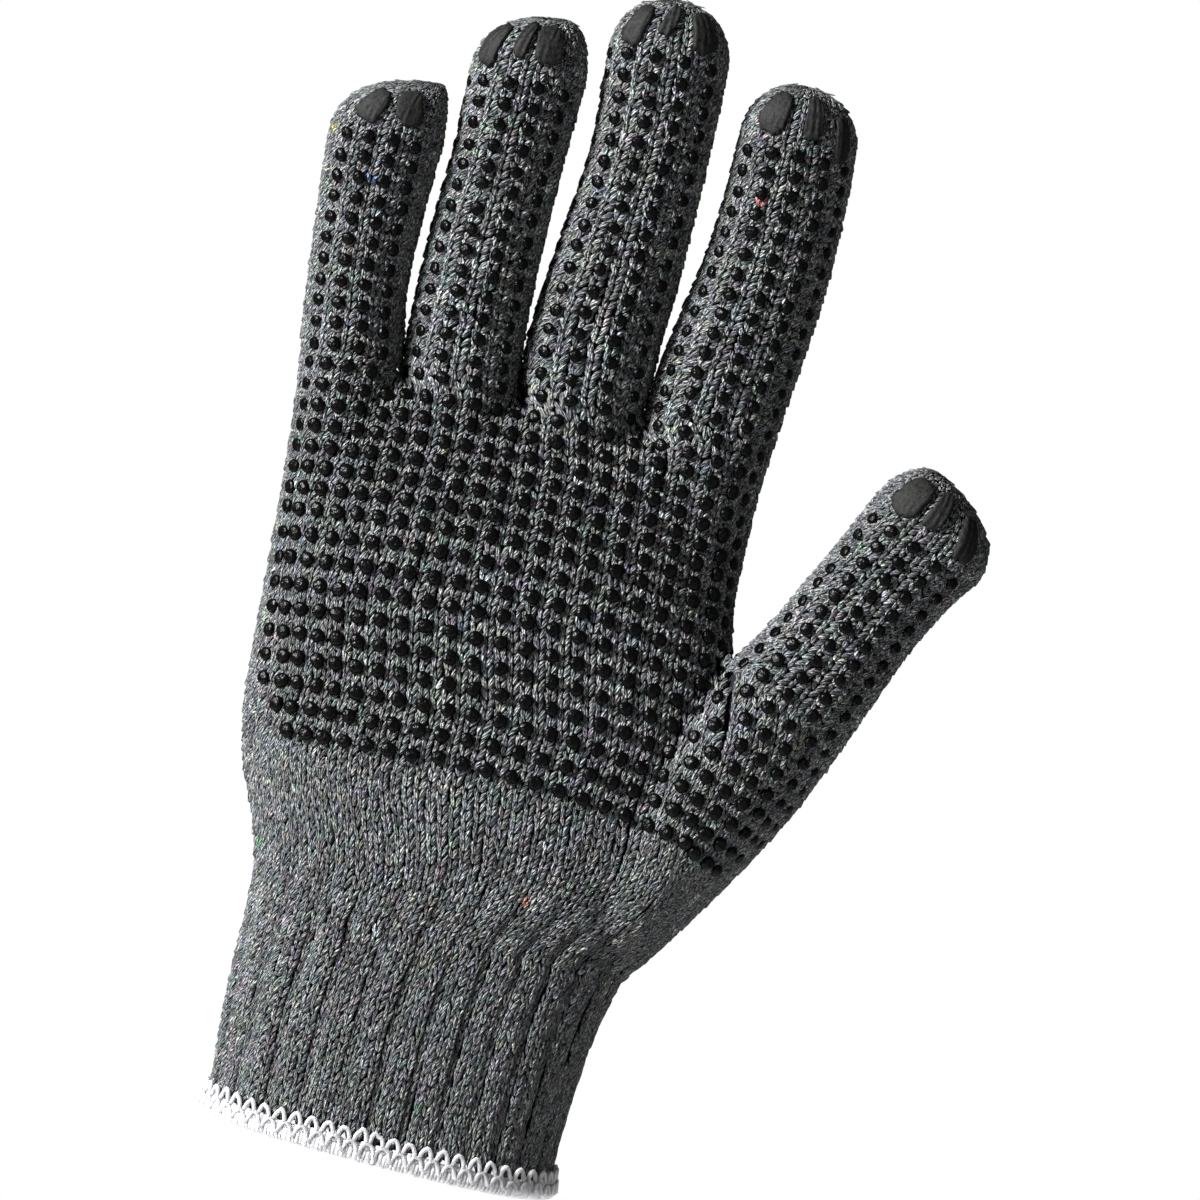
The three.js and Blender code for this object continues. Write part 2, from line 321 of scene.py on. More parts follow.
forms = (filled_form(name, DIGIT_INSET if name in TIPS else LAYER_INSET) for name in SECTIONS)
layer = mesh_object("inner_layer", *joined(forms))
merge = layer.modifiers.new("merge", "REMESH")
merge.mode = "VOXEL"
merge.voxel_size = LAYER_VOXEL * MM
ease = layer.modifiers.new("ease", "SMOOTH")
ease.iterations = 3
settle(layer)

FORM_ROUNDING = 0.5
FARTHEST_OUT = 40


def reach(x, z, side):
    # How far the glove's outside stands out, to the palm (-1) or to the back (+1), at a place. Where two
    # forms meet, the step between them is rounded.
    total = np.zeros(np.broadcast(x, z).shape)
    for name, rows in SECTIONS.items():
        a, along = x, z
        if name == "thumb":
            a, along = x * lean_cos - z * lean_sin, x * lean_sin + z * lean_cos
        middle, half_width, half_depth, back = section(name, along)
        power = HAND_SQUARENESS if name == "hand" else FINGER_SQUARENESS
        off = np.abs(a - middle) / np.maximum(half_width, 0.01)
        there = (off < 1 + 1e-4) & (along >= rows[0, 0]) & (along <= TIPS.get(name, rows[-1, 0]))
        out = half_depth * (1 - np.minimum(off, 1) ** power) ** (1 / power) + side * back
        out = np.clip(out, -FARTHEST_OUT, FARTHEST_OUT)
        total = total + np.where(there, np.exp(out / FORM_ROUNDING), 0)
    return side * FORM_ROUNDING * np.log(np.maximum(total, 1e-12))


# The easing fills the valleys between the digits, so there the layer is held back below the stitches.
VALLEY_DEPTH = 1.3
WRIST_CUT = 2.2
spots = np.empty(len(layer.data.vertices) * 3)
layer.data.vertices.foreach_get("co", spots)
spots = spots.reshape(-1, 3) / MM
palm_side = reach(spots[:, 0], spots[:, 2], -1) + VALLEY_DEPTH
back_side = reach(spots[:, 0], spots[:, 2], 1) - VALLEY_DEPTH
roomy = back_side - palm_side > 2 * LAYER_THICKNESS
spots[:, 1] = np.where(roomy, np.clip(spots[:, 1], palm_side, back_side), spots[:, 1])
above = spots[:, 2] + WRIST_TILT * spots[:, 0] > WRIST_CUT
kept = [tuple(p.vertices) for p in layer.data.polygons if above[list(p.vertices)].all()]
used = sorted({v for face in kept for v in face})
renumber = {old: new for new, old in enumerate(used)}
open_layer = mesh_object(
    "knit_inner_layer", spots[used], [tuple(renumber[v] for v in face) for face in kept]
)
bpy.data.objects.remove(layer)
wall = open_layer.modifiers.new("wall", "SOLIDIFY")
wall.thickness = LAYER_THICKNESS * MM
wall.offset = -1
wall.material_offset = 1
wall.material_offset_rim = 1

# Painted shade: the layer's outer face is near black and has no gloss. Where it shows between the stitches
# and in the crotches of the digits, it stands for their shadow.
painted_shade_yarn, _, painted_shade_shader = new_material("painted_shade_yarn", 1.0, (0.010, 0.010, 0.014))
painted_shade_shader.inputs["Specular IOR Level"].default_value = 0.0

# The inside of the knit shows its purl side: low rows of yarn that run round the hand.
PURL_ROW = 1.3
inside_yarn, inside_tree, inside_shader = new_material("inside_yarn", 1.0, (0.05, 0.052, 0.055))
inside_place = node(inside_tree, "ShaderNodeTexCoord")
rows_wave = node(inside_tree, "ShaderNodeTexWave", bands_direction="Z", Distortion=2.0,
                 Scale=2 * math.pi / (PURL_ROW * MM) / 20)
rows_bump = node(inside_tree, "ShaderNodeBump", Distance=0.5 * MM)
link(
    inside_tree,
    (inside_place.outputs["Object"], rows_wave.inputs["Vector"]),
    (rows_wave.outputs["Fac"], rows_bump.inputs["Height"]),
    (rows_bump.outputs["Normal"], inside_shader.inputs["Normal"]),
)
open_layer.data.materials.append(painted_shade_yarn)
open_layer.data.materials.append(inside_yarn)
settle(open_layer)
smooth_shading(open_layer)
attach(open_layer, "root")
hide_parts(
    "cuff", "hand", "thumb", "little_finger", "ring_finger", "middle_finger", "index_finger"
)

# The knit's face: plain knit in thick heather yarn of several strands. Every stitch is a V of two legs
# that points to the wrist, and the stitches run in columns, the wales, from the cuff up into each digit.
# The hand has 46 wales a side, the thumb adds 11 more below its fork, and the cuff draws all 57 in.
HAND_WALES = 46
CUFF_WALES = 57
THUMB_START = 44
FORK_ROW = 7.6
FORK_HEIGHT = 113.4
THUMB_BORDER = ((70, 78, 92, 100, FORK_HEIGHT), (46.5, 49.2, 51.8, 52.2, 51.0))
DIGITS_WIDEN_FROM = 130
ROW_ZERO = 82.0
ROW_PITCH = 5.2
UPPER_ROW = 9
UPPER_PITCH = 4.3
LAST_HAND_ROW = 13
FIRST_GRIP_WALE = 3.5
ROW_STEP = 0.4

# Where every second wale, the ones that carry dots, crosses the palm at five heights.
GRIP_WALES_X = {
    78: (-42, -38.7, -35.7, -31.9, -28, -23.7, -19.2, -14.6, -9.6, -4.6, 0.6, 5.7, 10.9, 15.9, 20.9,
         26, 30.6, 35.4, 40.2, 44.3, 47.8),
    92: (-43, -39, -35.7, -31.7, -28, -23.7, -19, -14.5, -9.5, -4.3, 0.7, 6.5, 11.8, 17, 22, 27.2,
         32.5, 37, 41.5, 46, 50.3),
    112: (-44.7, -42.3, -39.2, -35.3, -31.3, -27, -22.5, -18, -13, -8, -2.7, 2.5, 7.9, 13.2, 18.5,
          24, 29.5, 34.7, 40.2, 44.8, 48),
    145: (-46.5, -43.3, -39, -34.6, -30.6, -26, -21.3, -16.6, -12, -7.6, -3.4, 1.5, 7, 12, 17, 22.4,
          27.5, 33, 38.3, 42.8, 46),
    160: (-47.5, -44, -39.5, -34.7, -29.6, -26.6, -23, -17.8, -12, -7.4, -4, -0.4, 3.8, 9, 14.8, 20.4,
          26.2, 32.3, 39, 44.6, 48),
}
guide_heights = np.array(sorted(GRIP_WALES_X), float)
guide_x = np.array([GRIP_WALES_X[h] for h in sorted(GRIP_WALES_X)])
grip_wales = FIRST_GRIP_WALE + 2 * np.arange(guide_x.shape[1])
thumb_edge = outline("thumb", SECTIONS["thumb"][:, 0], np.full(len(SECTIONS["thumb"]), math.pi / 2))


def left_edge(z):
    middle, half_width, _, _ = section("hand", z)
    little_middle, little_half, _, _ = section("little", z)
    edge = middle - half_width
    return np.where(z > DIGITS_WIDEN_FROM, np.minimum(edge, little_middle - little_half), edge)


def right_edge(z):
    middle, half_width, _, _ = section("hand", z)
    edge = middle + half_width
    low_thumb = np.interp(z, thumb_edge[:, 2], thumb_edge[:, 0], left=-math.inf)
    index_middle, index_half, _, _ = section("index", z)
    edge = np.where(z <= FORK_HEIGHT, np.maximum(edge, low_thumb), edge)
    return np.where(z > DIGITS_WIDEN_FROM, np.maximum(edge, index_middle + index_half), edge)


def thumb_border(z):
    return np.interp(z, *THUMB_BORDER)


def ramp(value, low, high):
    share = np.clip((value - low) / (high - low), 0, 1)
    return share * share * (3 - 2 * share)


# How far each wale lies from the left edge, at every height, on the palm side and on the back. Shares of
# the width are counted as turns, so that they stay exact where the knit turns round its side.
TABLE_STEP = 0.5
WALE_STEP = 0.25
TABLE_TOP = 165
TABLE_TURNS = 500
CUFF_TOP = 48
GRIPS_FROM = 78
CUFF_PITCHES = ((0, 4, 8, 28, 50, 57), (1.9, 1.6, 1.45, 1.28, 1.0, 1.0))
table_heights = np.arange(0, TABLE_TOP, TABLE_STEP)
table_wales = np.arange(0, CUFF_WALES + 0.01, WALE_STEP)


def share_of_width(turn):
    return (1 - np.cos(np.pi * turn)) / 2


def grip_wale_x(j, z):
    # Below the first dots the wales on the left draw in together with the hand's side.
    x = np.interp(z, guide_heights, guide_x[:, j])
    if z < GRIPS_FROM:
        widest = left_edge(GRIPS_FROM)
        x = x + (left_edge(z) - widest) * max(x / widest, 0)
    return x


def length_along(points):
    return np.concatenate([[0], np.cumsum(np.linalg.norm(np.diff(points, axis=0), axis=1))])


def wale_table(side):
    table = []
    turns = np.linspace(0, 1, TABLE_TURNS)
    pitch = np.interp(table_wales, *CUFF_PITCHES)
    gathered = np.concatenate([[0], np.cumsum((pitch[1:] + pitch[:-1]) / 2)])
    gathered = gathered / gathered[-1]
    for z in table_heights:
        low, high = left_edge(z), right_edge(z)
        x = low + (high - low) * share_of_width(turns)
        y = reach(x, np.full_like(x, z), side)
        run = length_along(np.c_[x, y])
        below_fork = z <= FORK_HEIGHT
        guides = len(grip_wales) if side < 0 else len(grip_wales) - 1
        known_wales = [0.0, *grip_wales[:guides]]
        known_runs = [0.0] + [np.interp(grip_wale_x(j, z), x, run) for j in range(guides)]
        if below_fork:
            known_wales.append(THUMB_START)
            known_runs.append(np.interp(thumb_border(z), x, run))
        known_wales.append(CUFF_WALES if below_fork else HAND_WALES)
        known_runs.append(run[-1])
        guided = np.interp(table_wales, known_wales, known_runs)
        mix = ramp(z, CUFF_TOP, GRIPS_FROM)
        table.append(np.interp(gathered * run[-1] * (1 - mix) + guided * mix, run, turns))
    return np.array(table)


wale_tables = {-1: wale_table(-1), 1: wale_table(1)}


def wale_x(wale, z, side):
    rows = np.clip(z / TABLE_STEP, 0, len(table_heights) - 1.001)
    columns = np.clip(wale / WALE_STEP, 0, len(table_wales) - 1.001)
    r, c = rows.astype(int), columns.astype(int)
    fr, fc = rows - r, columns - c
    fork_between = (r * TABLE_STEP <= FORK_HEIGHT) & ((r + 1) * TABLE_STEP > FORK_HEIGHT)
    fr = np.where(fork_between, z > FORK_HEIGHT, fr)
    t = wale_tables[side]
    low = t[r, c] * (1 - fc) + t[r, c + 1] * fc
    high = t[r + 1, c] * (1 - fc) + t[r + 1, c + 1] * fc
    share = share_of_width(low * (1 - fr) + high * fr)
    return left_edge(z) * (1 - share) + right_edge(z) * share


def row_height(row):
    return ROW_ZERO + ROW_PITCH * min(row, UPPER_ROW) + UPPER_PITCH * max(row - UPPER_ROW, 0)


# The rows of stitches arch over the hand: they drop to both sides, fall off steeply over the thumb's root,
# and tilt with the hem below. Each table: heights, and the drop in millimetres or the slope there.
HALF_LEFT = 47
HALF_RIGHT = 45
FALL_LEFT = ((70, 95, 114, 146), (0, 2, 3, 3))
FALL_RIGHT = ((20, 60, 78, 114, 146), (0, 3.5, 5, 5, 8))
THUMB_FALL = ((30, 66, 113, 125), (0.1, 0.52, 0.52, 0.35))
TILT_SHARE = ((8, 45), (1, 0))


def arch(x, z):
    fall_left = np.interp(z, *FALL_LEFT) * (x / HALF_LEFT) ** 2
    fall_right = np.interp(z, *FALL_RIGHT) * (np.minimum(x, HALF_RIGHT) / HALF_RIGHT) ** 2
    steep = np.interp(z, *THUMB_FALL) * np.maximum(x - HALF_RIGHT, 0)
    tilt = WRIST_TILT * x * np.interp(z, *TILT_SHARE)
    return -np.where(x < 0, fall_left, fall_right) - steep - tilt


def unit(vectors):
    return vectors / np.maximum(np.linalg.norm(vectors, axis=-1, keepdims=True), 1e-9)


# The cuff gathers into folds of four wales, so that every fourth one sinks between its neighbours.
FOLD_WALES = 4
FOLD_DEPTH = 1.2
FOLD_SHIFT = 0.22
FOLD_SPREAD = 0.8
FOLDS = 40
FOLD_PARTS = 8
FOLD_PART = 12
LEVEL_ROUNDS = 12
fold_strength = rng.uniform(0.25, 1.0, (FOLDS, FOLD_PARTS))


def fold_at(wale, level):
    # How strong the fold at this wale is here, and how far the wale is from the fold's bottom.
    fold = np.floor(wale / FOLD_WALES).astype(int) % FOLDS
    up = np.clip(level / FOLD_PART, 0, FOLD_PARTS - 1.01)
    low = int(up)
    strength = fold_strength[fold, low] * (1 - up + low) + fold_strength[fold, low + 1] * (up - low)
    return strength * (1 - ramp(level, *FOLD_TOP)), wale % FOLD_WALES - FOLD_WALES + 0.5


def hand_point(wale, row, side):
    # Where a wale and a row cross on the palm's side (-1) or on the back (+1).
    wale = np.asarray(wale, float)
    level = row_height(row)
    z = np.full_like(wale, level)
    place_wale = wale
    strength, to_bottom = fold_at(wale, level)
    if level < FOLD_TOP[1]:
        phase = (wale - 0.5) % FOLD_WALES
        pull = np.interp(phase, (0, 1, 2, 3, 4), (-FOLD_SHIFT, 0, FOLD_SHIFT, 0, -FOLD_SHIFT))
        place_wale = wale + strength * pull
    for _ in range(LEVEL_ROUNDS):
        x = wale_x(place_wale, z, side)
        z = 0.5 * z + 0.5 * (level + arch(x, level))
    x = wale_x(place_wale, z, side)
    point = np.stack([x, reach(x, z, side), z], axis=-1)
    if level < FOLD_TOP[1]:
        middle, half_width, half_depth, back = section("hand", z)
        away = np.stack([(x - middle) / half_width**2, (point[..., 1] - back) / half_depth**2,
                         np.zeros_like(x)], axis=-1)
        nearest = np.minimum(np.abs(to_bottom), np.abs(to_bottom + FOLD_WALES))
        sink = FOLD_DEPTH * strength * np.exp(-((nearest / FOLD_SPREAD) ** 2))
        point = point - unit(away) * sink[..., None]
    return point


GORE_FOOT = 69.7
GORE_ROUNDS = 6
GORE_STEPS = 200


def gore_point(wale, row, side):
    # Below the thumb's fork its wales fan out between the hand's last wale and the outer edge.
    left_z = row_height(row)
    for _ in range(GORE_ROUNDS):
        left_z = row_height(row) + arch(thumb_border(left_z), row_height(row))
    right_z = GORE_FOOT + (thumb_edge_z - GORE_FOOT) * row / FORK_ROW
    left = np.array([thumb_border(left_z), left_z])
    right = np.array([np.interp(right_z, thumb_edge[:, 2], thumb_edge[:, 0]), right_z])
    share = np.sin(np.linspace(0, math.pi / 2, GORE_STEPS))
    line = left[None] * (1 - share[:, None]) + right[None] * share[:, None]
    y = reach(line[:, 0], line[:, 1], side)
    run = length_along(np.c_[line, y])
    at = np.interp((np.asarray(wale) - THUMB_START) / (CUFF_WALES - THUMB_START) * run[-1], run, share)
    x = left[0] * (1 - at) + right[0] * at
    z = left[1] * (1 - at) + right[1] * at
    return np.stack([x, np.interp(at, share, y), z], axis=-1)


# Each digit's wales: the first one's number on the hand, how many a side, where row 13 crosses it, the
# pitch of the dot rows, how far the wales turn round it, and its last row of dots.
DIGIT_WALES = {
    "little": (0, 14, 143.7, 4.3, 0.2, 27), "ring": (13, 12, 145.6, 4.406, 0.4, 30),
    "middle": (24, 12, 145.7, 4.54, -0.35, 32), "index": (33, 13, 140.3, 4.32, 0.2, 31),
    "thumb": (43, 14, 124.6, 4.36, 0.2, 17),
}
thumb_edge_z = np.interp(DIGIT_WALES["thumb"][2], SECTIONS["thumb"][:, 0], thumb_edge[:, 2])
MERIDIAN_STEP = 0.5
TIP_STEPS = 60
POLE_REACH = math.radians(88.5)


def meridian(name):
    # Length along the middle of a digit's palm side, over the tip, against height.
    start = DIGIT_WALES[name][2]
    last = SECTIONS[name][-1, 0]
    over = last + (TIPS[name] - last) * np.sin(np.linspace(0, POLE_REACH, TIP_STEPS))
    heights_up = np.concatenate([np.arange(start, last, MERIDIAN_STEP), over])
    return heights_up, length_along(outline(name, heights_up, np.zeros_like(heights_up)))


meridians = {name: meridian(name) for name in DIGIT_WALES}


def base_row(name):
    # The row of the hand on which a digit's own rows stand.
    return FORK_ROW if name == "thumb" else LAST_HAND_ROW


# The rows of a digit settle to its own tilt over a few rows, drop at its sides and close round its pole.
# Up to two heights its stitches sit on the hand's surface, and then ease over to the digit's own.
ROWS_TO_SETTLE = 6
SIDE_DROP = 1.2
TIP_CLOSES_OVER = 3.5
POLE_GAP = 0.3
HAND_EASES_OUT = (155, 160.5)
RING_TURNS = 361


def digit_point(name, wale, row):
    # The wales of a digit are counted right round it, from its left edge across the palm side.
    first, count, start, pitch, twist, _ = DIGIT_WALES[name]
    wale = np.asarray(wale, float)
    rows_up = row - base_row(name)
    settled = min(max(rows_up, 0) / ROWS_TO_SETTLE, 1)
    turned = (wale + twist * settled) % (2 * count)
    angle = turned / count * math.pi - math.pi / 2
    edge_fall = -SIDE_DROP * np.sin(angle) ** 2
    around = wale % (2 * count)
    front = around < count
    folded = np.where(front, around, 2 * count - around)
    if name != "thumb":
        level = row_height(LAST_HAND_ROW)
        x = wale_x(np.clip(first + folded, 0, HAND_WALES), np.full_like(wale, level), -1)
        edge_fall = edge_fall * settled + (level + arch(x, level) - start) * (1 - settled)
    heights_up, run = meridians[name]
    to_pole = run[-1] - rows_up * pitch
    edge_fall = edge_fall * min(max(to_pole / TIP_CLOSES_OVER, 0), 1)
    travel = np.minimum(run[-1] - to_pole + edge_fall, run[-1] - POLE_GAP)
    along = np.where(travel < 0, start + travel, np.interp(travel, run, heights_up))
    turns = np.linspace(-math.pi / 2, 1.5 * math.pi, RING_TURNS)
    length = length_along(outline(name, np.full(RING_TURNS, np.median(along)), turns))
    turn = np.interp(turned / (2 * count) * length[-1], length, turns)
    point = outline(name, along, turn)
    if name != "thumb" and along.min() < HAND_EASES_OUT[1]:
        side_of = np.where(front, -1, 1)
        for side in (-1, 1):
            x = wale_x(np.clip(first + folded, 0, HAND_WALES), along, side)
            low = np.stack([x, reach(x, along, side), along], axis=-1)
            use = ((side_of == side) & (along < HAND_EASES_OUT[1]))[:, None]
            point = np.where(use, low + (point - low) * ramp(along, *HAND_EASES_OUT)[:, None], point)
    return point


# How far to both sides of a stitch the way across it is measured, in wales.
NEARLY_HALF = 0.45


def stitch_frame(point, wale, row):
    # Where a stitch sits, and the ways across it and up it, as long as it is wide and high.
    here = point(wale, row)
    across = (point(wale + NEARLY_HALF, row) - point(wale - NEARLY_HALF, row)) / (2 * NEARLY_HALF)
    up = point(wale, row + ROW_STEP / 2) - point(wale, row - ROW_STEP / 2)
    return here, across, up


# The shape of a leg of yarn, in parts of a stitch: its width, its thickness, how far it leans out, how far
# its upper end dives behind the stitch above, and how it swells between its two ends.
LEG_WIDTH = 0.48
LEG_DEPTH = 0.32
LEG_LEAN = 0.33
LEG_START = 0.07
LEG_BULGE = 0.02
LEG_LENGTH = 1.5
LEG_DIVE = 0.2
LEG_RISE = 0.05
LEG_DIVE_POWER = 1.6
LEG_FOOT = 0.3
LEG_END_DEPTH = 0.55
LEG_STEPS = (0.0, 0.14, 0.46, 0.82, 1.0)
LEG_SWELL = (0.08, 0.84, 0.55)
LEG_ARCH = np.radians((-100, -46, 0, 46, 100))
LEG_GROOVE = 0.05
LEG_UNEVENNESS = 0.08
STITCH_KINDS = 5
STRIP_OPENS = 0.02


def shape_object(name, points, faces):
    shape = bpy.data.meshes.new(name)
    shape.from_pydata(points, [], faces)
    made = bpy.data.objects.new(name, shape)
    smooth_shading(made)
    return made


def leg_points(side, open_by):
    # One leg, from its foot to its upper end: a point, three arched rings and a point, with their UVs.
    width = LEG_WIDTH * (1 + LEG_UNEVENNESS * rng.normal())
    lean = LEG_LEAN * (1 + 2 * LEG_UNEVENNESS * rng.normal()) - open_by
    start = LEG_START + open_by + LEG_UNEVENNESS * 0.1 * rng.normal()
    lift = LEG_UNEVENNESS * 0.3 * rng.normal()
    swell_from, swell_span, swell_power = LEG_SWELL
    points, uvs = [], []
    for t in LEG_STEPS:
        x = side * (start + lean * t + LEG_BULGE * math.sin(math.pi * t))
        y = LEG_LENGTH * (t - 0.5)
        crest = lift - LEG_DIVE * t**LEG_DIVE_POWER - LEG_RISE * max(LEG_FOOT - t, 0) / LEG_FOOT
        if t in (LEG_STEPS[0], LEG_STEPS[-1]):
            points.append((x, y, crest - LEG_DEPTH * LEG_END_DEPTH))
            uvs.append((0.5 + side, t))
            continue
        swell = math.sin(math.pi * (swell_from + swell_span * t)) ** swell_power
        for i, a in enumerate(LEG_ARCH):
            groove = LEG_GROOVE * swell if a == 0 else 0
            points.append((x + width / 2 * swell * math.sin(a), y,
                           crest - groove - LEG_DEPTH * swell * (1 - math.cos(a))))
            uvs.append((i / (len(LEG_ARCH) - 1) + side, t))
    return points, uvs


def stitch_shape(name, open_by):
    points, faces, uvs = [], [], []
    rings, round_leg = len(LEG_STEPS) - 2, len(LEG_ARCH)
    for side in (-1, 1):
        base = len(points)
        last = base + 1 + rings * round_leg
        leg, leg_uvs = leg_points(side, open_by)
        points += leg
        uvs += leg_uvs
        for i in range(round_leg - 1):
            faces.append((base, base + 2 + i, base + 1 + i))
            faces.append((last, last - round_leg + i, last - round_leg + i + 1))
            for r in range(rings - 1):
                low = base + 1 + r * round_leg + i
                faces.append((low, low + 1, low + round_leg + 1, low + round_leg))
    made = shape_object(name, points, faces)
    unwrapped = made.data.uv_layers.new(name="UVMap")
    for loop in made.data.loops:
        unwrapped.data[loop.index].uv = uvs[loop.vertex_index]
    return made


# The first kinds are plain stitches. The rest open a little, on the wales that carry dots.
stitch_box = bpy.data.collections.new("stitch_shapes")
for kind in range(2 * STITCH_KINDS):
    stitch_box.objects.link(stitch_shape(f"stitch_{kind}", 0.0 if kind < STITCH_KINDS else STRIP_OPENS))


def piece_tree(name, **inputs):
    # A tree with the inputs named, each with its kind of socket, and one result.
    tree = bpy.data.node_groups.new(name, "GeometryNodeTree")
    for socket, kind in inputs.items():
        tree.interface.new_socket(socket, in_out="INPUT", socket_type=f"NodeSocket{kind}")
    tree.interface.new_socket("Result", in_out="OUTPUT", socket_type="NodeSocketGeometry")
    return tree, tree.nodes.new("NodeGroupInput"), tree.nodes.new("NodeGroupOutput")


def finished(tree, geometry, given, result):
    # Makes a tree's geometry real, gives it its finish and hands it out.
    real = node(tree, "GeometryNodeRealizeInstances")
    finish = node(tree, "GeometryNodeSetMaterial")
    link(
        tree,
        (geometry, real.inputs["Geometry"]),
        (real.outputs["Geometry"], finish.inputs["Geometry"]),
        (given.outputs["Finish"], finish.inputs["Material"]),
        (finish.outputs["Geometry"], result.inputs["Result"]),
    )
    return tree


def placing_tree(name):
    # Puts one of a collection's shapes on every point, turned and sized by the point's own values.
    tree, given, result = piece_tree(
        name, Points="Geometry", Shapes="Collection", Finish="Material", Fullness="Float"
    )
    shapes = node(tree, "GeometryNodeCollectionInfo")
    shapes.inputs["Separate Children"].default_value = True
    shapes.inputs["Reset Children"].default_value = True
    outward, up, size = (
        node(tree, "GeometryNodeInputNamedAttribute", data_type="FLOAT_VECTOR", Name=key)
        for key in ("outward", "up", "size")
    )
    kind = node(tree, "GeometryNodeInputNamedAttribute", data_type="INT", Name="kind")
    stand = node(tree, "FunctionNodeAlignRotationToVector", axis="Z")
    steer = node(tree, "FunctionNodeAlignRotationToVector", axis="Y", pivot_axis="Z")
    fill = node(tree, "ShaderNodeVectorMath", operation="SCALE")
    put = node(tree, "GeometryNodeInstanceOnPoints")
    put.inputs["Pick Instance"].default_value = True
    link(
        tree,
        (given.outputs["Shapes"], shapes.inputs["Collection"]),
        (outward.outputs["Attribute"], stand.inputs["Vector"]),
        (stand.outputs["Rotation"], steer.inputs["Rotation"]),
        (up.outputs["Attribute"], steer.inputs["Vector"]),
        (size.outputs["Attribute"], fill.inputs[0]),
        (given.outputs["Fullness"], fill.inputs["Scale"]),
        (given.outputs["Points"], put.inputs["Points"]),
        (shapes.outputs["Instances"], put.inputs["Instance"]),
        (kind.outputs["Attribute"], put.inputs["Instance Index"]),
        (steer.outputs["Rotation"], put.inputs["Rotation"]),
        (fill.outputs["Vector"], put.inputs["Scale"]),
    )
    return finished(tree, put.outputs["Instances"], given, result)


def grown(name, mesh, tree, **inputs):
    # The piece that a tree makes of a mesh's points or lines.
    piece = bpy.data.objects.new(name, mesh)
    scene.collection.objects.link(piece)
    growing = piece.modifiers.new("growing", "NODES")
    growing.node_group = tree
    for item in tree.interface.items_tree:
        if item.in_out == "INPUT" and item.name in inputs:
            growing[item.identifier] = inputs[item.name]
    return settle(piece)


def put_shapes(name, points, tree, shapes, finish):
    # Points hold arrays of places, ways up and out, sizes, kinds, dyes and a number for chance.
    mesh = bpy.data.meshes.new(name)
    mesh.from_pydata((points["place"] * MM).tolist(), [], [])
    for key, scale in (("outward", 1), ("up", 1), ("size", MM)):
        values = points[key] * scale
        mesh.attributes.new(key, "FLOAT_VECTOR", "POINT").data.foreach_set("vector", values.ravel())
    mesh.attributes.new("kind", "INT", "POINT").data.foreach_set("value", points["kind"])
    mesh.attributes.new("chance", "FLOAT", "POINT").data.foreach_set("value", points["chance"])
    dye = np.c_[points["dye"], np.ones(len(points["dye"]))]
    mesh.attributes.new("dye", "FLOAT_COLOR", "POINT").data.foreach_set("color", dye.ravel())
    piece = grown(name, mesh, tree, Shapes=shapes, Finish=finish, Fullness=1.0)
    smooth_shading(piece)
    return piece


# Heather yarn: dark, grey and nearly white fibres lie along each leg in streaks that twist a little. The
# crowns of its strands are painted lighter and the grooves between them darker: painted shade.
heather, heather_tree, heather_shader = new_material("heather_yarn", 0.9)
heather_shader.inputs["Sheen Weight"].default_value = 0.06
heather_shader.inputs["Sheen Roughness"].default_value = 0.6
heather_shader.inputs["Specular IOR Level"].default_value = 0.12
STREAKS = (3.0, 2.2, 60.0)
SPECKS = (8.0, 5.0, 140.0)
STRANDS = 3.0
FIBRE_TWIST = -0.75
FIBRE_TONES = (
    (0.4, (0.006, 0.006, 0.01)), (0.49, (0.047, 0.052, 0.057)), (0.56, (0.142, 0.15, 0.152)),
    (0.62, (0.28, 0.285, 0.262)),
)


def maths(tree, operation, *terms):
    # A sum on numbers and on other nodes' results.
    made = node(tree, "ShaderNodeMath", operation=operation)
    for socket, term in zip(made.inputs, terms):
        if isinstance(term, float):
            socket.default_value = term
        else:
            link(tree, (term, socket))
    return made.outputs[0]


def toned(tree, value, tones):
    # The colours that a value runs through, from the darkest tone to the lightest.
    made = node(tree, "ShaderNodeValToRGB")
    darkest, *between, lightest = tones
    for element, (place, colour) in zip(made.color_ramp.elements, (darkest, lightest)):
        element.position = place
        element.color = (*colour, 1)
    for place, colour in between:
        made.color_ramp.elements.new(place).color = (*colour, 1)
    link(tree, (value, made.inputs["Fac"]))
    return made.outputs["Color"]


leg_uv = node(heather_tree, "ShaderNodeUVMap", uv_map="UVMap")
leg_parts = node(heather_tree, "ShaderNodeSeparateXYZ")
link(heather_tree, (leg_uv.outputs["UV"], leg_parts.inputs["Vector"]))
round_leg, up_leg = leg_parts.outputs["X"], leg_parts.outputs["Y"]
chance = node(heather_tree, "ShaderNodeAttribute", attribute_name="chance").outputs["Fac"]
dye = node(heather_tree, "ShaderNodeAttribute", attribute_name="dye").outputs["Color"]
twist = maths(heather_tree, "MULTIPLY_ADD", up_leg, FIBRE_TWIST, round_leg)


def fibre_noise(counts, detail):
    # Noise drawn out along the leg, and another part of it for every stitch.
    spread = node(heather_tree, "ShaderNodeCombineXYZ")
    for i, source in enumerate((twist, up_leg, chance)):
        link(heather_tree, (maths(heather_tree, "MULTIPLY", source, counts[i]), spread.inputs[i]))
    noise = node(heather_tree, "ShaderNodeTexNoise", Scale=1.0, Detail=detail, Roughness=0.6)
    link(heather_tree, (spread.outputs[0], noise.inputs["Vector"]))
    return noise.outputs["Fac"]


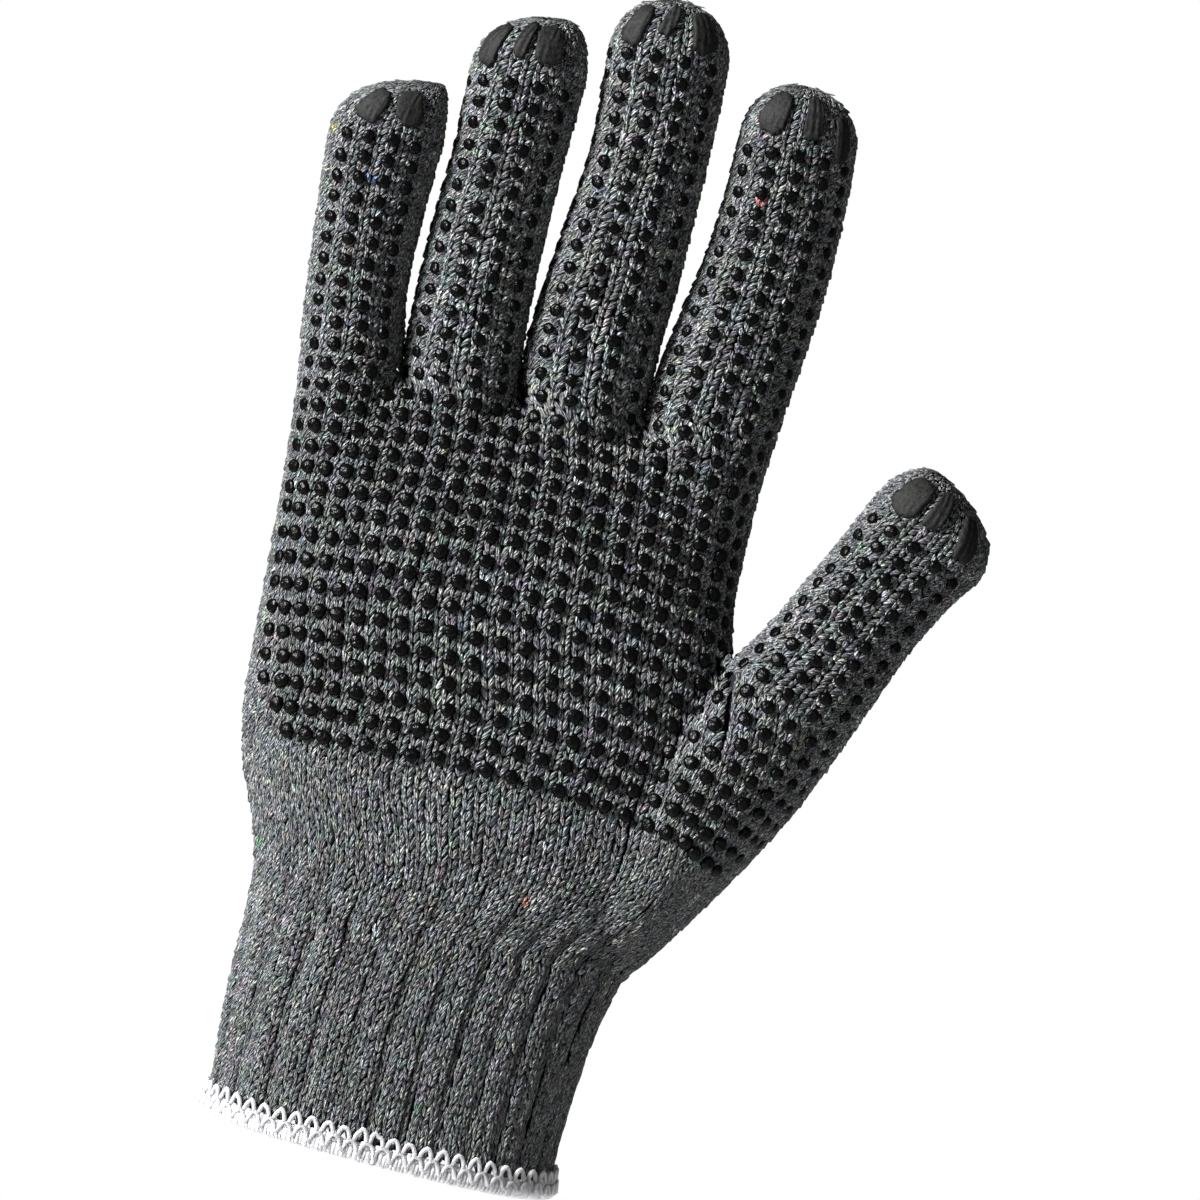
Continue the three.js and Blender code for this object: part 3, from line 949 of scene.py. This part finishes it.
streak = fibre_noise(STREAKS, 2.0)
speck = fibre_noise(SPECKS, 1.0)
strand = maths(heather_tree, "MULTIPLY", twist, STRANDS)
# Painted shade: each strand's crown lifts the yarn's tone and the groove between strands lowers it, on top
# of the fibres' own streaks and specks. The same crowns also raise the bump.
strand_relief_and_shade = maths(heather_tree, "PINGPONG", maths(heather_tree, "MULTIPLY_ADD", streak, 0.8, strand), 0.5)
speckled = maths(heather_tree, "MULTIPLY_ADD", speck, 0.55, -0.04)
specks_and_groove_shade = maths(heather_tree, "MULTIPLY_ADD", strand_relief_and_shade, 0.16, speckled)
fibre_tone_and_groove_shade = maths(heather_tree, "MULTIPLY_ADD", streak, 0.45, specks_and_groove_shade)
tinted = node(heather_tree, "ShaderNodeMix", data_type="RGBA", blend_type="MULTIPLY")
tinted.inputs["Factor"].default_value = 1.0
fibre_bump = node(heather_tree, "ShaderNodeBump", Distance=0.6 * MM)
link(
    heather_tree,
    (toned(heather_tree, fibre_tone_and_groove_shade, FIBRE_TONES), tinted.inputs["A"]),
    (dye, tinted.inputs["B"]),
    (tinted.outputs["Result"], heather_shader.inputs["Base Color"]),
    (maths(heather_tree, "ADD", streak, strand_relief_and_shade), fibre_bump.inputs["Height"]),
    (fibre_bump.outputs["Normal"], heather_shader.inputs["Normal"]),
)

# How unlike each other the stitches are: in place, in turn, in size and in dye. Slubs are lighter stretches
# of yarn, and flecks are fibres of another colour that were spun in.
PROUD_BY, PROUD_SPREAD = 0.02, 0.07
ASIDE_SPREAD = 0.09
TURN_SPREAD = 0.07
TILT_SPREAD = 0.08
SIZE_SPREAD = 0.04
SHADE_SPREAD = 0.17
TINT_SPREAD = 0.05
WIDTH_LIMITS = (0.6, 3.2)
HEIGHT_LIMITS = (0.6, 3.0)
SLUB_SHARE = 0.01
SLUB_DYES = (1.5, 2.2)
FLECK_SHARE = 0.0012
FLECK_DYES = np.array([(2.2, 0.9, 0.8), (1.7, 1.6, 0.6), (0.8, 1.1, 2.0), (0.8, 1.6, 1.0)])


def gather_stitches(rows):
    # Joins rows of stitches, unevens them as yarn is, and gives each its dye and its size.
    place, across, up, kinds = (np.concatenate(column) for column in zip(*rows))
    count = len(place)
    width = np.clip(np.linalg.norm(across, axis=1), *WIDTH_LIMITS)
    height = np.clip(np.linalg.norm(up, axis=1), *HEIGHT_LIMITS)
    outward = unit(np.cross(across, up))
    up = unit(up + rng.normal(0, TURN_SPREAD, (count, 1)) * across)
    outward = unit(outward + TILT_SPREAD * rng.normal(0, 1, (count, 3)))
    place = place + outward * rng.normal(PROUD_BY, PROUD_SPREAD, (count, 1))
    place = place + unit(across) * rng.normal(0, ASIDE_SPREAD, (count, 1))
    shade = np.exp(rng.normal(0, SHADE_SPREAD, (count, 1)))
    dye = shade * np.exp(rng.normal(0, TINT_SPREAD, (count, 3)))
    slub = rng.random(count) < SLUB_SHARE
    dye[slub] *= rng.uniform(*SLUB_DYES, (slub.sum(), 1))
    fleck = rng.random(count) < FLECK_SHARE
    dye[fleck] *= FLECK_DYES[rng.integers(0, len(FLECK_DYES), fleck.sum())]
    size = np.stack([width, height, width], axis=1) * np.exp(rng.normal(0, SIZE_SPREAD, (count, 1)))
    return {"place": place, "outward": outward, "up": up, "size": size, "dye": dye,
            "kind": kinds + rng.integers(0, STITCH_KINDS, count), "chance": rng.random(count)}


# The cuff's first row and the hand's, and the wales of each digit that are drawn below the forks, counted
# from its edge. The others are hidden there by the next digit.
FIRST_ROW = -15.0
CUFF_ROW = -5.4
SEEN_WALES = {"little": (0, 13), "ring": (0, 12), "middle": (1, 11), "index": (2, 13), "thumb": (0, 14)}
ALL_SEEN_FROM = 156
LAST_ROW_GAP = 0.4
knit_tree = placing_tree("knit_stitches")


def hand_rows(side, first_row, last_row):
    # Every stitch of some rows of the hand: its place, the ways across and up, and its kind.
    rows = []
    for row in np.arange(first_row, last_row - ROW_STEP / 2, ROW_STEP):
        parts = [(hand_point, 0, CUFF_WALES)]
        if row >= 0:
            parts = [(hand_point, 0, THUMB_START)]
        if 0 <= row < FORK_ROW:
            parts.append((gore_point, THUMB_START, CUFF_WALES))
        if row >= FORK_ROW:
            parts = [(hand_point, 0, HAND_WALES)]
        for point, first, last in parts:
            wale = np.arange(first, last) + 0.5
            here, across, up = stitch_frame(partial(point, side=side), wale, row)
            across = across * -side
            strip = (np.floor(wale) % 2 == 0) & (row > 0) & (side < 0)
            rows.append((here, across, up, np.where(strip, STITCH_KINDS, 0)))
    return rows


def digit_rows(name):
    first, count, _, pitch, _, _ = DIGIT_WALES[name]
    first_row = math.ceil(FORK_ROW / ROW_STEP) * ROW_STEP if name == "thumb" else LAST_HAND_ROW
    _, run = meridians[name]
    last_row = base_row(name) + (run[-1] - LAST_ROW_GAP) / pitch
    low, high = SEEN_WALES[name]
    rows = []
    for row in np.append(np.arange(first_row, last_row - ROW_STEP / 2, ROW_STEP), last_row):
        wale = np.arange(2 * count) + 0.5
        here, across, up = stitch_frame(partial(digit_point, name), wale, row)
        folded = np.where(wale < count, wale, 2 * count - wale)
        keep = ((folded > low) & (folded < high)) | (here[:, 2] > ALL_SEEN_FROM)
        strip = (np.floor(wale + first) % 2 == 0) & (wale < count)
        kinds = np.where(strip, STITCH_KINDS, 0)
        rows.append((here[keep], across[keep], up[keep], kinds[keep]))
    return rows


knit_pieces = {
    "cuff_knit": hand_rows(-1, FIRST_ROW, CUFF_ROW) + hand_rows(1, FIRST_ROW, CUFF_ROW),
    "palm_knit": hand_rows(-1, CUFF_ROW, LAST_HAND_ROW),
    "back_knit": hand_rows(1, CUFF_ROW, LAST_HAND_ROW),
    "little_finger_knit": digit_rows("little"),
    "ring_finger_knit": digit_rows("ring"),
    "middle_finger_knit": digit_rows("middle"),
    "index_finger_knit": digit_rows("index"),
    "thumb_knit": digit_rows("thumb"),
}
for piece_name, rows in knit_pieces.items():
    knitted = put_shapes(piece_name, gather_stitches(rows), knit_tree, stitch_box, heather)
    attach(knitted, "root")

# The grip dots: low round beads of black vinyl, pressed hot on to every second wale of the palm side
# through a screen. Each keeps a small dent where the screen let go of it, and none is quite round. They are
# flat where the hand turns away from the screen, and a little smaller on the digits.
DOT_RADIUS = 1.56
DOT_HEIGHT = 0.95
DOT_KINDS = 6
DOT_SIZE_SPREAD = 0.03
DOT_STRAYS = 0.1
DOT_SINKS, DOT_STANDS = -0.2, 0.12
FACING = (0.4, 0.95)
AVERTED_SIZE = np.array([0.84, 0.84, 0.3])
DIGIT_DOTS_SMALLER = 0.12
FINGER_DOTS_FROM = (140, 165)
THUMB_DOTS_FROM = (56, 66)
DOT_RINGS = ((1.0, -0.45), (1.0, 0.25), (0.84, 0.68), (0.48, 0.93))
DOT_DENT = 0.9
DOT_SIDES = 12
DOT_OVAL, DOT_CORNERS = 0.05, 0.035
DOT_LEANS = 0.1
DOT_ROUGHNESS = 0.08


def dot_shape(name):
    angles = np.linspace(0, 2 * math.pi, DOT_SIDES, endpoint=False)
    waves = rng.uniform(0, 2 * math.pi, 3)
    wobble = 1 + DOT_OVAL * np.cos(2 * angles + waves[0]) + DOT_CORNERS * np.cos(3 * angles + waves[1])
    off = DOT_LEANS * np.array([math.cos(waves[2]), math.sin(waves[2])])
    points = []
    for radius, height in DOT_RINGS:
        shift = off * max(height, 0)
        for a, w in zip(angles, wobble):
            bump = 1 + DOT_ROUGHNESS * rng.normal() if height > 0 else 1
            points.append((radius * w * math.cos(a) + shift[0], radius * w * math.sin(a) + shift[1],
                           height * bump))
    points.append((off[0], off[1], DOT_DENT))
    faces = ring_faces(0, len(DOT_RINGS), DOT_SIDES)
    last = (len(DOT_RINGS) - 1) * DOT_SIDES
    faces += [(last + i, last + (i + 1) % DOT_SIDES, len(points) - 1) for i in range(DOT_SIDES)]
    return shape_object(name, points, faces)


dot_box = bpy.data.collections.new("dot_shapes")
for kind in range(DOT_KINDS):
    dot_box.objects.link(dot_shape(f"dot_{kind}"))

GRIP_COLUMNS = {"little": (3, 5, 7, 9), "ring": (0, 2, 4, 6, 8), "middle": (1, 3, 5, 7, 9),
                "index": (2, 4, 6, 8, 10), "thumb": (2, 4, 6, 8, 10)}
CREASE_COLUMNS = (("little", 11, 15), ("ring", 10, 15))


def grip_places():
    # Every dot's surface, wale and row: the palm, the thumb's root, the five digits, then two creases.
    for row in range(LAST_HAND_ROW + 1):
        yield partial(hand_point, side=-1), grip_wales[max(2 - row, 0):], row
    for row in range(math.floor(FORK_ROW) + 1):
        columns = GRIP_COLUMNS["thumb"][: 3 + row]
        yield partial(gore_point, side=-1), THUMB_START - 0.5 + np.array(columns), row
    for name, columns in GRIP_COLUMNS.items():
        for row in range(math.floor(base_row(name)) + 1, DIGIT_WALES[name][5] + 1):
            yield partial(digit_point, name), 0.5 + np.array(columns), row
    for name, column, last in CREASE_COLUMNS:
        for row in range(LAST_HAND_ROW + 1, last + 1):
            yield partial(digit_point, name), np.array([column + 0.5]), row


def gather_dots():
    place, outward, up = [], [], []
    for point, wales, row in grip_places():
        here, across, along = stitch_frame(point, wales, row)
        place.append(here)
        outward.append(unit(np.cross(across, along)))
        up.append(unit(across) * rng.normal(0, 1, (len(wales), 1)) + unit(along))
    place, outward, up = (np.concatenate(part) for part in (place, outward, up))
    count = len(place)
    facing = ramp(-outward[:, 1:2], *FACING)
    place = place + np.cross(outward, up) * rng.normal(0, DOT_STRAYS, (count, 1))
    place = place + outward * (DOT_SINKS + (DOT_STANDS - DOT_SINKS) * facing)
    size = np.array([DOT_RADIUS, DOT_RADIUS, DOT_HEIGHT])
    size = size * np.exp(rng.normal(0, DOT_SIZE_SPREAD, (count, 3)))
    size *= AVERTED_SIZE + (1 - AVERTED_SIZE) * facing
    on_digit = np.maximum(ramp(place[:, 2:], *FINGER_DOTS_FROM), ramp(place[:, :1], *THUMB_DOTS_FROM))
    size *= 1 - DIGIT_DOTS_SMALLER * on_digit
    return {"place": place, "outward": outward, "up": up, "size": size, "dye": np.ones((count, 3)),
            "kind": rng.integers(0, DOT_KINDS, count), "chance": rng.random(count)}


vinyl, vinyl_tree, vinyl_shader = new_material("black_vinyl_dots", 0.3, (0.0008, 0.0008, 0.0009))
vinyl_shader.inputs["Specular IOR Level"].default_value = 0.08


def grain(tree, shader, height, strength, **noise_inputs):
    # Fine unevenness all over a surface, and the noise that it comes from.
    place = node(tree, "ShaderNodeTexCoord")
    noise = node(tree, "ShaderNodeTexNoise", **noise_inputs)
    bump = node(tree, "ShaderNodeBump", Strength=strength, Distance=height * MM)
    link(
        tree,
        (place.outputs["Object"], noise.inputs["Vector"]),
        (noise.outputs["Fac"], bump.inputs["Height"]),
        (bump.outputs["Normal"], shader.inputs["Normal"]),
    )
    return noise.outputs["Fac"]


grain(vinyl_tree, vinyl_shader, 0.35, 1.0, Scale=900.0, Detail=2.0, Roughness=0.55)
dots = put_shapes("grip_dots", gather_dots(), placing_tree("printed_dots"), dot_box, vinyl)
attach(dots, "root")

# The grip pads: two or three flat patches of the same vinyl on each fingertip. They are thin, dull and
# pressed into the knit, so its stitches show faintly through them and their edges are ragged.
# Each pad: digit, middle across and up the hand, width, length, and its lean to the right in degrees.
PADS = (
    ("little", -45.3, 210, 5, 7.8, 28), ("little", -37.6, 211, 5.4, 7.6, -8),
    ("ring", -23.8, 227.4, 4.6, 9.6, 18), ("ring", -17.8, 229.4, 2.7, 8.4, 13),
    ("ring", -12.3, 229, 5.4, 8.6, -7), ("middle", 4.2, 237.4, 4.7, 9.4, 18),
    ("middle", 11.1, 239.4, 2.7, 7.4, 16), ("middle", 18.1, 237.6, 5.2, 9.0, -15),
    ("index", 35.5, 225.6, 5.7, 9.4, 13), ("index", 43.5, 226, 3.7, 9.6, -4),
    ("index", 50.2, 222.6, 3.4, 9.6, -18), ("thumb", 78.9, 154.4, 6.8, 9.4, 36),
    ("thumb", 85.1, 152.6, 3.7, 9.4, 24), ("thumb", 92, 148.2, 4.4, 9.6, 6),
)
PAD_RINGS = (0.0, 0.25, 0.45, 0.62, 0.76, 0.88, 0.96, 1.0, 1.03)
PAD_HEIGHTS = (0.62, 0.62, 0.62, 0.62, 0.6, 0.55, 0.42, 0.1, -0.6)
PAD_SIDES = 40
PAD_CORNERS = 3.4
PAD_RAGGEDNESS = 0.05
PAD_RELIEF = 0.1
WALE_SEARCH, ROW_SEARCH = 0.25, 0.2
ROWS_WITHOUT_PADS = 3


def nearest_wale_and_row(name, x, z):
    wales = np.arange(WALE_SEARCH, DIGIT_WALES[name][1], WALE_SEARCH)
    _, run = meridians[name]
    last_row = base_row(name) + run[-1] / DIGIT_WALES[name][3]
    found = []
    for row in np.arange(base_row(name) + ROWS_WITHOUT_PADS, last_row, ROW_SEARCH):
        points = digit_point(name, wales, row)
        gaps = np.hypot(points[:, 0] - x, points[:, 2] - z)
        found.append((gaps.min(), wales[gaps.argmin()], row))
    return min(found)[1:]


def pad_mesh(name, x, z, width, length, lean):
    wale, row = nearest_wale_and_row(name, x, z)
    surface = partial(digit_point, name)
    _, across, up = (v[0] for v in stitch_frame(surface, np.array([wale]), row))
    up = up / ROW_STEP
    outward = unit(np.cross(across, up))
    lean = math.radians(lean)
    tall = np.array([math.sin(lean), 0, math.cos(lean)])
    tall = unit(tall - outward * (tall @ outward))
    wide = unit(np.cross(tall, outward))
    steps = np.linalg.lstsq(np.stack([across, up], axis=1), np.stack([wide, tall], axis=1), rcond=None)[0]
    angles = np.linspace(0, 2 * math.pi, PAD_SIDES, endpoint=False)
    power = 2 / PAD_CORNERS
    edge_x = np.sign(np.cos(angles)) * np.abs(np.cos(angles)) ** power * width / 2
    edge_y = np.sign(np.sin(angles)) * np.abs(np.sin(angles)) ** power * length / 2
    ragged = PAD_RAGGEDNESS * rng.normal(0, 1, PAD_SIDES)
    points = []
    for ring, height in zip(PAD_RINGS, PAD_HEIGHTS):
        for i in range(1 if ring == 0 else PAD_SIDES):
            spread = ring * (1 + ragged[i] * ring**3)
            dw, dr = steps @ np.array([edge_x[i] * spread, edge_y[i] * spread])
            frame_here = stitch_frame(surface, np.array([wale + dw]), row + dr)
            spot, side, along = (v[0] for v in frame_here)
            relief = PAD_RELIEF * math.cos(4 * math.pi * (wale + dw)) * (ring < 1)
            points.append(spot + unit(np.cross(side, along)) * (height + relief))
    faces = [(0, 1 + i, 1 + (i + 1) % PAD_SIDES) for i in range(PAD_SIDES)]
    faces += [(a, d, c, b) for a, b, c, d in ring_faces(1, len(PAD_RINGS) - 1, PAD_SIDES)]
    return points, faces


pads = mesh_object("grip_pads", *joined(pad_mesh(*pad) for pad in PADS))
smooth_shading(pads)

matt_vinyl, matt_tree, matt_shader = new_material("matt_vinyl_pads", 0.65)
matt_shader.inputs["Specular IOR Level"].default_value = 0.12
matt_grain = grain(matt_tree, matt_shader, 0.3, 0.8, Scale=1100.0, Detail=3.0, Roughness=0.65)
matt_tone = toned(matt_tree, matt_grain, ((0.35, (0.003, 0.003, 0.003)), (0.7, (0.012, 0.012, 0.0115))))
link(matt_tree, (matt_tone, matt_shader.inputs["Base Color"]))
pads.data.materials.append(matt_vinyl)
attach(pads, "root")
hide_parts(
    "little_pad_outer", "little_pad_inner", "ring_pad_outer", "ring_pad_middle", "ring_pad_inner",
    "middle_pad_outer", "middle_pad_middle", "middle_pad_inner", "index_pad_outer",
    "index_pad_middle", "index_pad_inner", "thumb_pad_outer", "thumb_pad_middle", "thumb_pad_inner"
)

# The hem: the cuff's raw edge is overlocked with soft white thread. Strands wrap it from the outside
# round the lip to the inside, and two looped threads hold them, in a row of arches and a row below it.
HEM_TOP = 7.3
HEM_LEVEL = 3.0
HEM_TURNS = 1441
HEM_SAG = 2.5
HEM_LOOPS = 58
HEM_THREAD = 0.46
CORE_PROFILE = ((-0.3, 5.0), (0.3, 4.0), (0.4, 2.6), (-0.1, 1.7), (-1.0, 1.35), (-2.0, 1.6), (-2.5, 2.2),
                (-2.4, 3.0), (-1.9, 3.6))
WRAP_PROFILE = ((-0.1, 4.9), (0.45, 3.9), (0.65, 3.0), (0.25, 2.1), (-0.6, 1.75), (-1.5, 1.8),
                (-2.3, 2.15), (-2.6, 2.9), (-2.4, 4.3))
CORE_SIDES = 120
WRAPS_A_LOOP = 4
WRAP_THREAD = 0.74
WRAP_STEPS = 15
WRAP_SLANT, WRAP_SLANT_SPREAD = 0.5, 0.15
WRAP_STRAYS = 0.12
WRAP_PROUD_SPREAD = 0.08
WRAP_END_SPREAD = 0.25
LOOP_STEPS = 16
LOOP_SPREAD = 0.06
LOOP_SQUARENESS = 0.02
LOOP_UNEVENNESS = 0.2
LOOP_TOPS_SINK = 0.25
THREAD_SIDES = 8
PLIES_A_METRE = 620.0


def hem_point(turn, proud, height):
    # A place on the hem: its turn round the wrist, how far it stands out of the cuff, its height.
    turn = np.asarray(turn, float)
    level = np.full_like(turn, HEM_LEVEL)
    behind, place, ahead = (outline("hand", level, turn + step) for step in (-0.02, 0, 0.02))
    along = unit(ahead - behind)
    away = np.stack([along[..., 1], -along[..., 0], np.zeros_like(turn)], axis=-1)
    away = away * np.sign((away * place).sum(axis=-1, keepdims=True))
    point = place + away * np.asarray(proud)[..., None]
    front = np.clip((1 + np.cos(turn)) / 2, 0, 1)
    low = -HEM_SAG * front**1.4 - WRIST_TILT * place[..., 0]
    point[..., 2] = height + low
    return point


def even_turns(count):
    # Turns that lie equally far apart along the hem.
    fine = np.linspace(0, 2 * math.pi, HEM_TURNS)
    length = length_along(hem_point(fine, np.zeros_like(fine), 0))
    return np.interp(np.linspace(0, length[-1], count + 1)[:-1], length, fine)


core_turns = even_turns(CORE_SIDES)
core_points = [hem_point(core_turns, np.full(CORE_SIDES, proud), height) for proud, height in CORE_PROFILE]
core_faces = []
for r in range(len(CORE_PROFILE)):
    for i in range(CORE_SIDES):
        low, high = r * CORE_SIDES, (r + 1) % len(CORE_PROFILE) * CORE_SIDES
        j = (i + 1) % CORE_SIDES
        core_faces.append((low + i, high + i, high + j, low + j))
core = mesh_object("hem_core", np.concatenate(core_points), core_faces)
smooth_shading(core)


def wrap_strands():
    turns = even_turns(HEM_LOOPS * WRAPS_A_LOOP)
    pitch = 2 * math.pi / len(turns)
    steps = np.linspace(0, 1, WRAP_STEPS)
    proud, height = np.array(WRAP_PROFILE).T
    places = np.linspace(0, 1, len(WRAP_PROFILE))
    strands = []
    for turn in turns:
        slant = pitch * (WRAP_SLANT + WRAP_SLANT_SPREAD * rng.normal())
        swing = turn + slant * np.cos(math.pi * steps) * 0.5 + pitch * WRAP_STRAYS * rng.normal()
        out = np.interp(steps, places, proud) + WRAP_PROUD_SPREAD * rng.normal()
        end_shift = WRAP_END_SPREAD * rng.normal() * (1 - np.sin(math.pi * steps))
        strands.append(hem_point(swing, out, np.interp(steps, places, height) + end_shift))
    return strands


def looped_thread(top, drop, start, proud):
    # A thread in arches, wide and round at the top, with upright legs that nearly touch.
    count = HEM_LOOPS * LOOP_STEPS
    phase = np.arange(count) / LOOP_STEPS + start
    turns = even_turns(count)
    uneven = np.repeat(rng.normal(0, LOOP_UNEVENNESS, HEM_LOOPS), LOOP_STEPS)
    rise = (1 + np.cos(2 * math.pi * phase)) / 2
    height = top - drop * (1 - rise) + uneven * rise
    swing = LOOP_SPREAD * np.sin(2 * math.pi * phase) + LOOP_SQUARENESS * np.sin(4 * math.pi * phase)
    swing = swing * 2 * math.pi / HEM_LOOPS
    return hem_point(turns + swing, proud - LOOP_TOPS_SINK * rise, height)


def thread_tree(name):
    # Makes round threads of lines, and keeps how far along and how far around each point lies.
    tree, given, result = piece_tree(name, Lines="Geometry", Thickness="Float", Finish="Material")
    curves = node(tree, "GeometryNodeMeshToCurve")
    run = node(tree, "GeometryNodeSplineParameter")
    keep_run = node(tree, "GeometryNodeStoreNamedAttribute", data_type="FLOAT", Name="run")
    ring = node(tree, "GeometryNodeCurvePrimitiveCircle", Resolution=THREAD_SIDES)
    around = node(tree, "GeometryNodeSplineParameter")
    keep_around = node(tree, "GeometryNodeStoreNamedAttribute", data_type="FLOAT", Name="around")
    tube = node(tree, "GeometryNodeCurveToMesh")
    tube.inputs["Fill Caps"].default_value = True
    smooth = node(tree, "GeometryNodeSetShadeSmooth")
    link(
        tree,
        (given.outputs["Lines"], curves.inputs["Mesh"]),
        (curves.outputs["Curve"], keep_run.inputs["Geometry"]),
        (run.outputs["Length"], keep_run.inputs["Value"]),
        (given.outputs["Thickness"], ring.inputs["Radius"]),
        (ring.outputs["Curve"], keep_around.inputs["Geometry"]),
        (around.outputs["Factor"], keep_around.inputs["Value"]),
        (keep_run.outputs["Geometry"], tube.inputs["Curve"]),
        (keep_around.outputs["Geometry"], tube.inputs["Profile Curve"]),
        (tube.outputs["Mesh"], smooth.inputs["Geometry"]),
    )
    return finished(tree, smooth.outputs["Geometry"], given, result)


def plied_thread(name, colour):
    # Soft white thread of two plies that wind round each other.
    paint, tree, shader = new_material(name, 0.85, colour)
    shader.inputs["Sheen Weight"].default_value = 0.2
    shader.inputs["Sheen Roughness"].default_value = 0.5
    shader.inputs["Subsurface Weight"].default_value = 0.8
    shader.inputs["Subsurface Radius"].default_value = (1, 1, 1)
    shader.inputs["Subsurface Scale"].default_value = 4 * MM
    run = node(tree, "ShaderNodeAttribute", attribute_name="run").outputs["Fac"]
    around = node(tree, "ShaderNodeAttribute", attribute_name="around").outputs["Fac"]
    plies = maths(tree, "ADD", maths(tree, "MULTIPLY", run, PLIES_A_METRE), around)
    bump = node(tree, "ShaderNodeBump", Strength=0.6, Distance=0.25 * MM)
    link(
        tree,
        (maths(tree, "PINGPONG", plies, 0.5), bump.inputs["Height"]),
        (bump.outputs["Normal"], shader.inputs["Normal"]),
    )
    return paint


# Painted light: the loops and the wraps are one soft white thread. The wraps, which turn down and away from
# the high lamp, are painted more than twice as light as the loops, which face it.
loop_thread = plied_thread("hem_loop_thread", (0.25, 0.25, 0.26))
wrap_thread_painted_light = plied_thread("hem_wrap_thread_painted_light", (0.6, 0.6, 0.64))
core_paint, core_tree, core_shader = new_material("hem_core_thread", 0.95, (0.5, 0.5, 0.53))
grain(core_tree, core_shader, 0.4, 0.6, Scale=700.0, Detail=2.0)
core.data.materials.append(core_paint)
hem_tree = thread_tree("hem_threads")
loops = [looped_thread(HEM_TOP, 3.2, 0.0, 0.85), looped_thread(HEM_TOP - 2.5, 2.0, 0.5, 1.3)]


def threads(name, lines, closed, thickness, finish):
    # One piece of many lines of thread, each of them open or closed to a ring.
    left_open = 0 if closed else 1
    lines = ((line, [(i, (i + 1) % len(line)) for i in range(len(line) - left_open)]) for line in lines)
    points, edges = joined(lines)
    mesh = bpy.data.meshes.new(name)
    mesh.from_pydata((np.array(points) * MM).tolist(), edges, [])
    return grown(name, mesh, hem_tree, Thickness=thickness * MM, Finish=finish)


hem_wraps = threads("hem_wraps", wrap_strands(), False, WRAP_THREAD, wrap_thread_painted_light)
hem_loops = threads("hem_loops", loops, True, HEM_THREAD, loop_thread)
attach(core, "root")
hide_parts("hem")
for threads_piece in (hem_wraps, hem_loops):
    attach(threads_piece, "root")
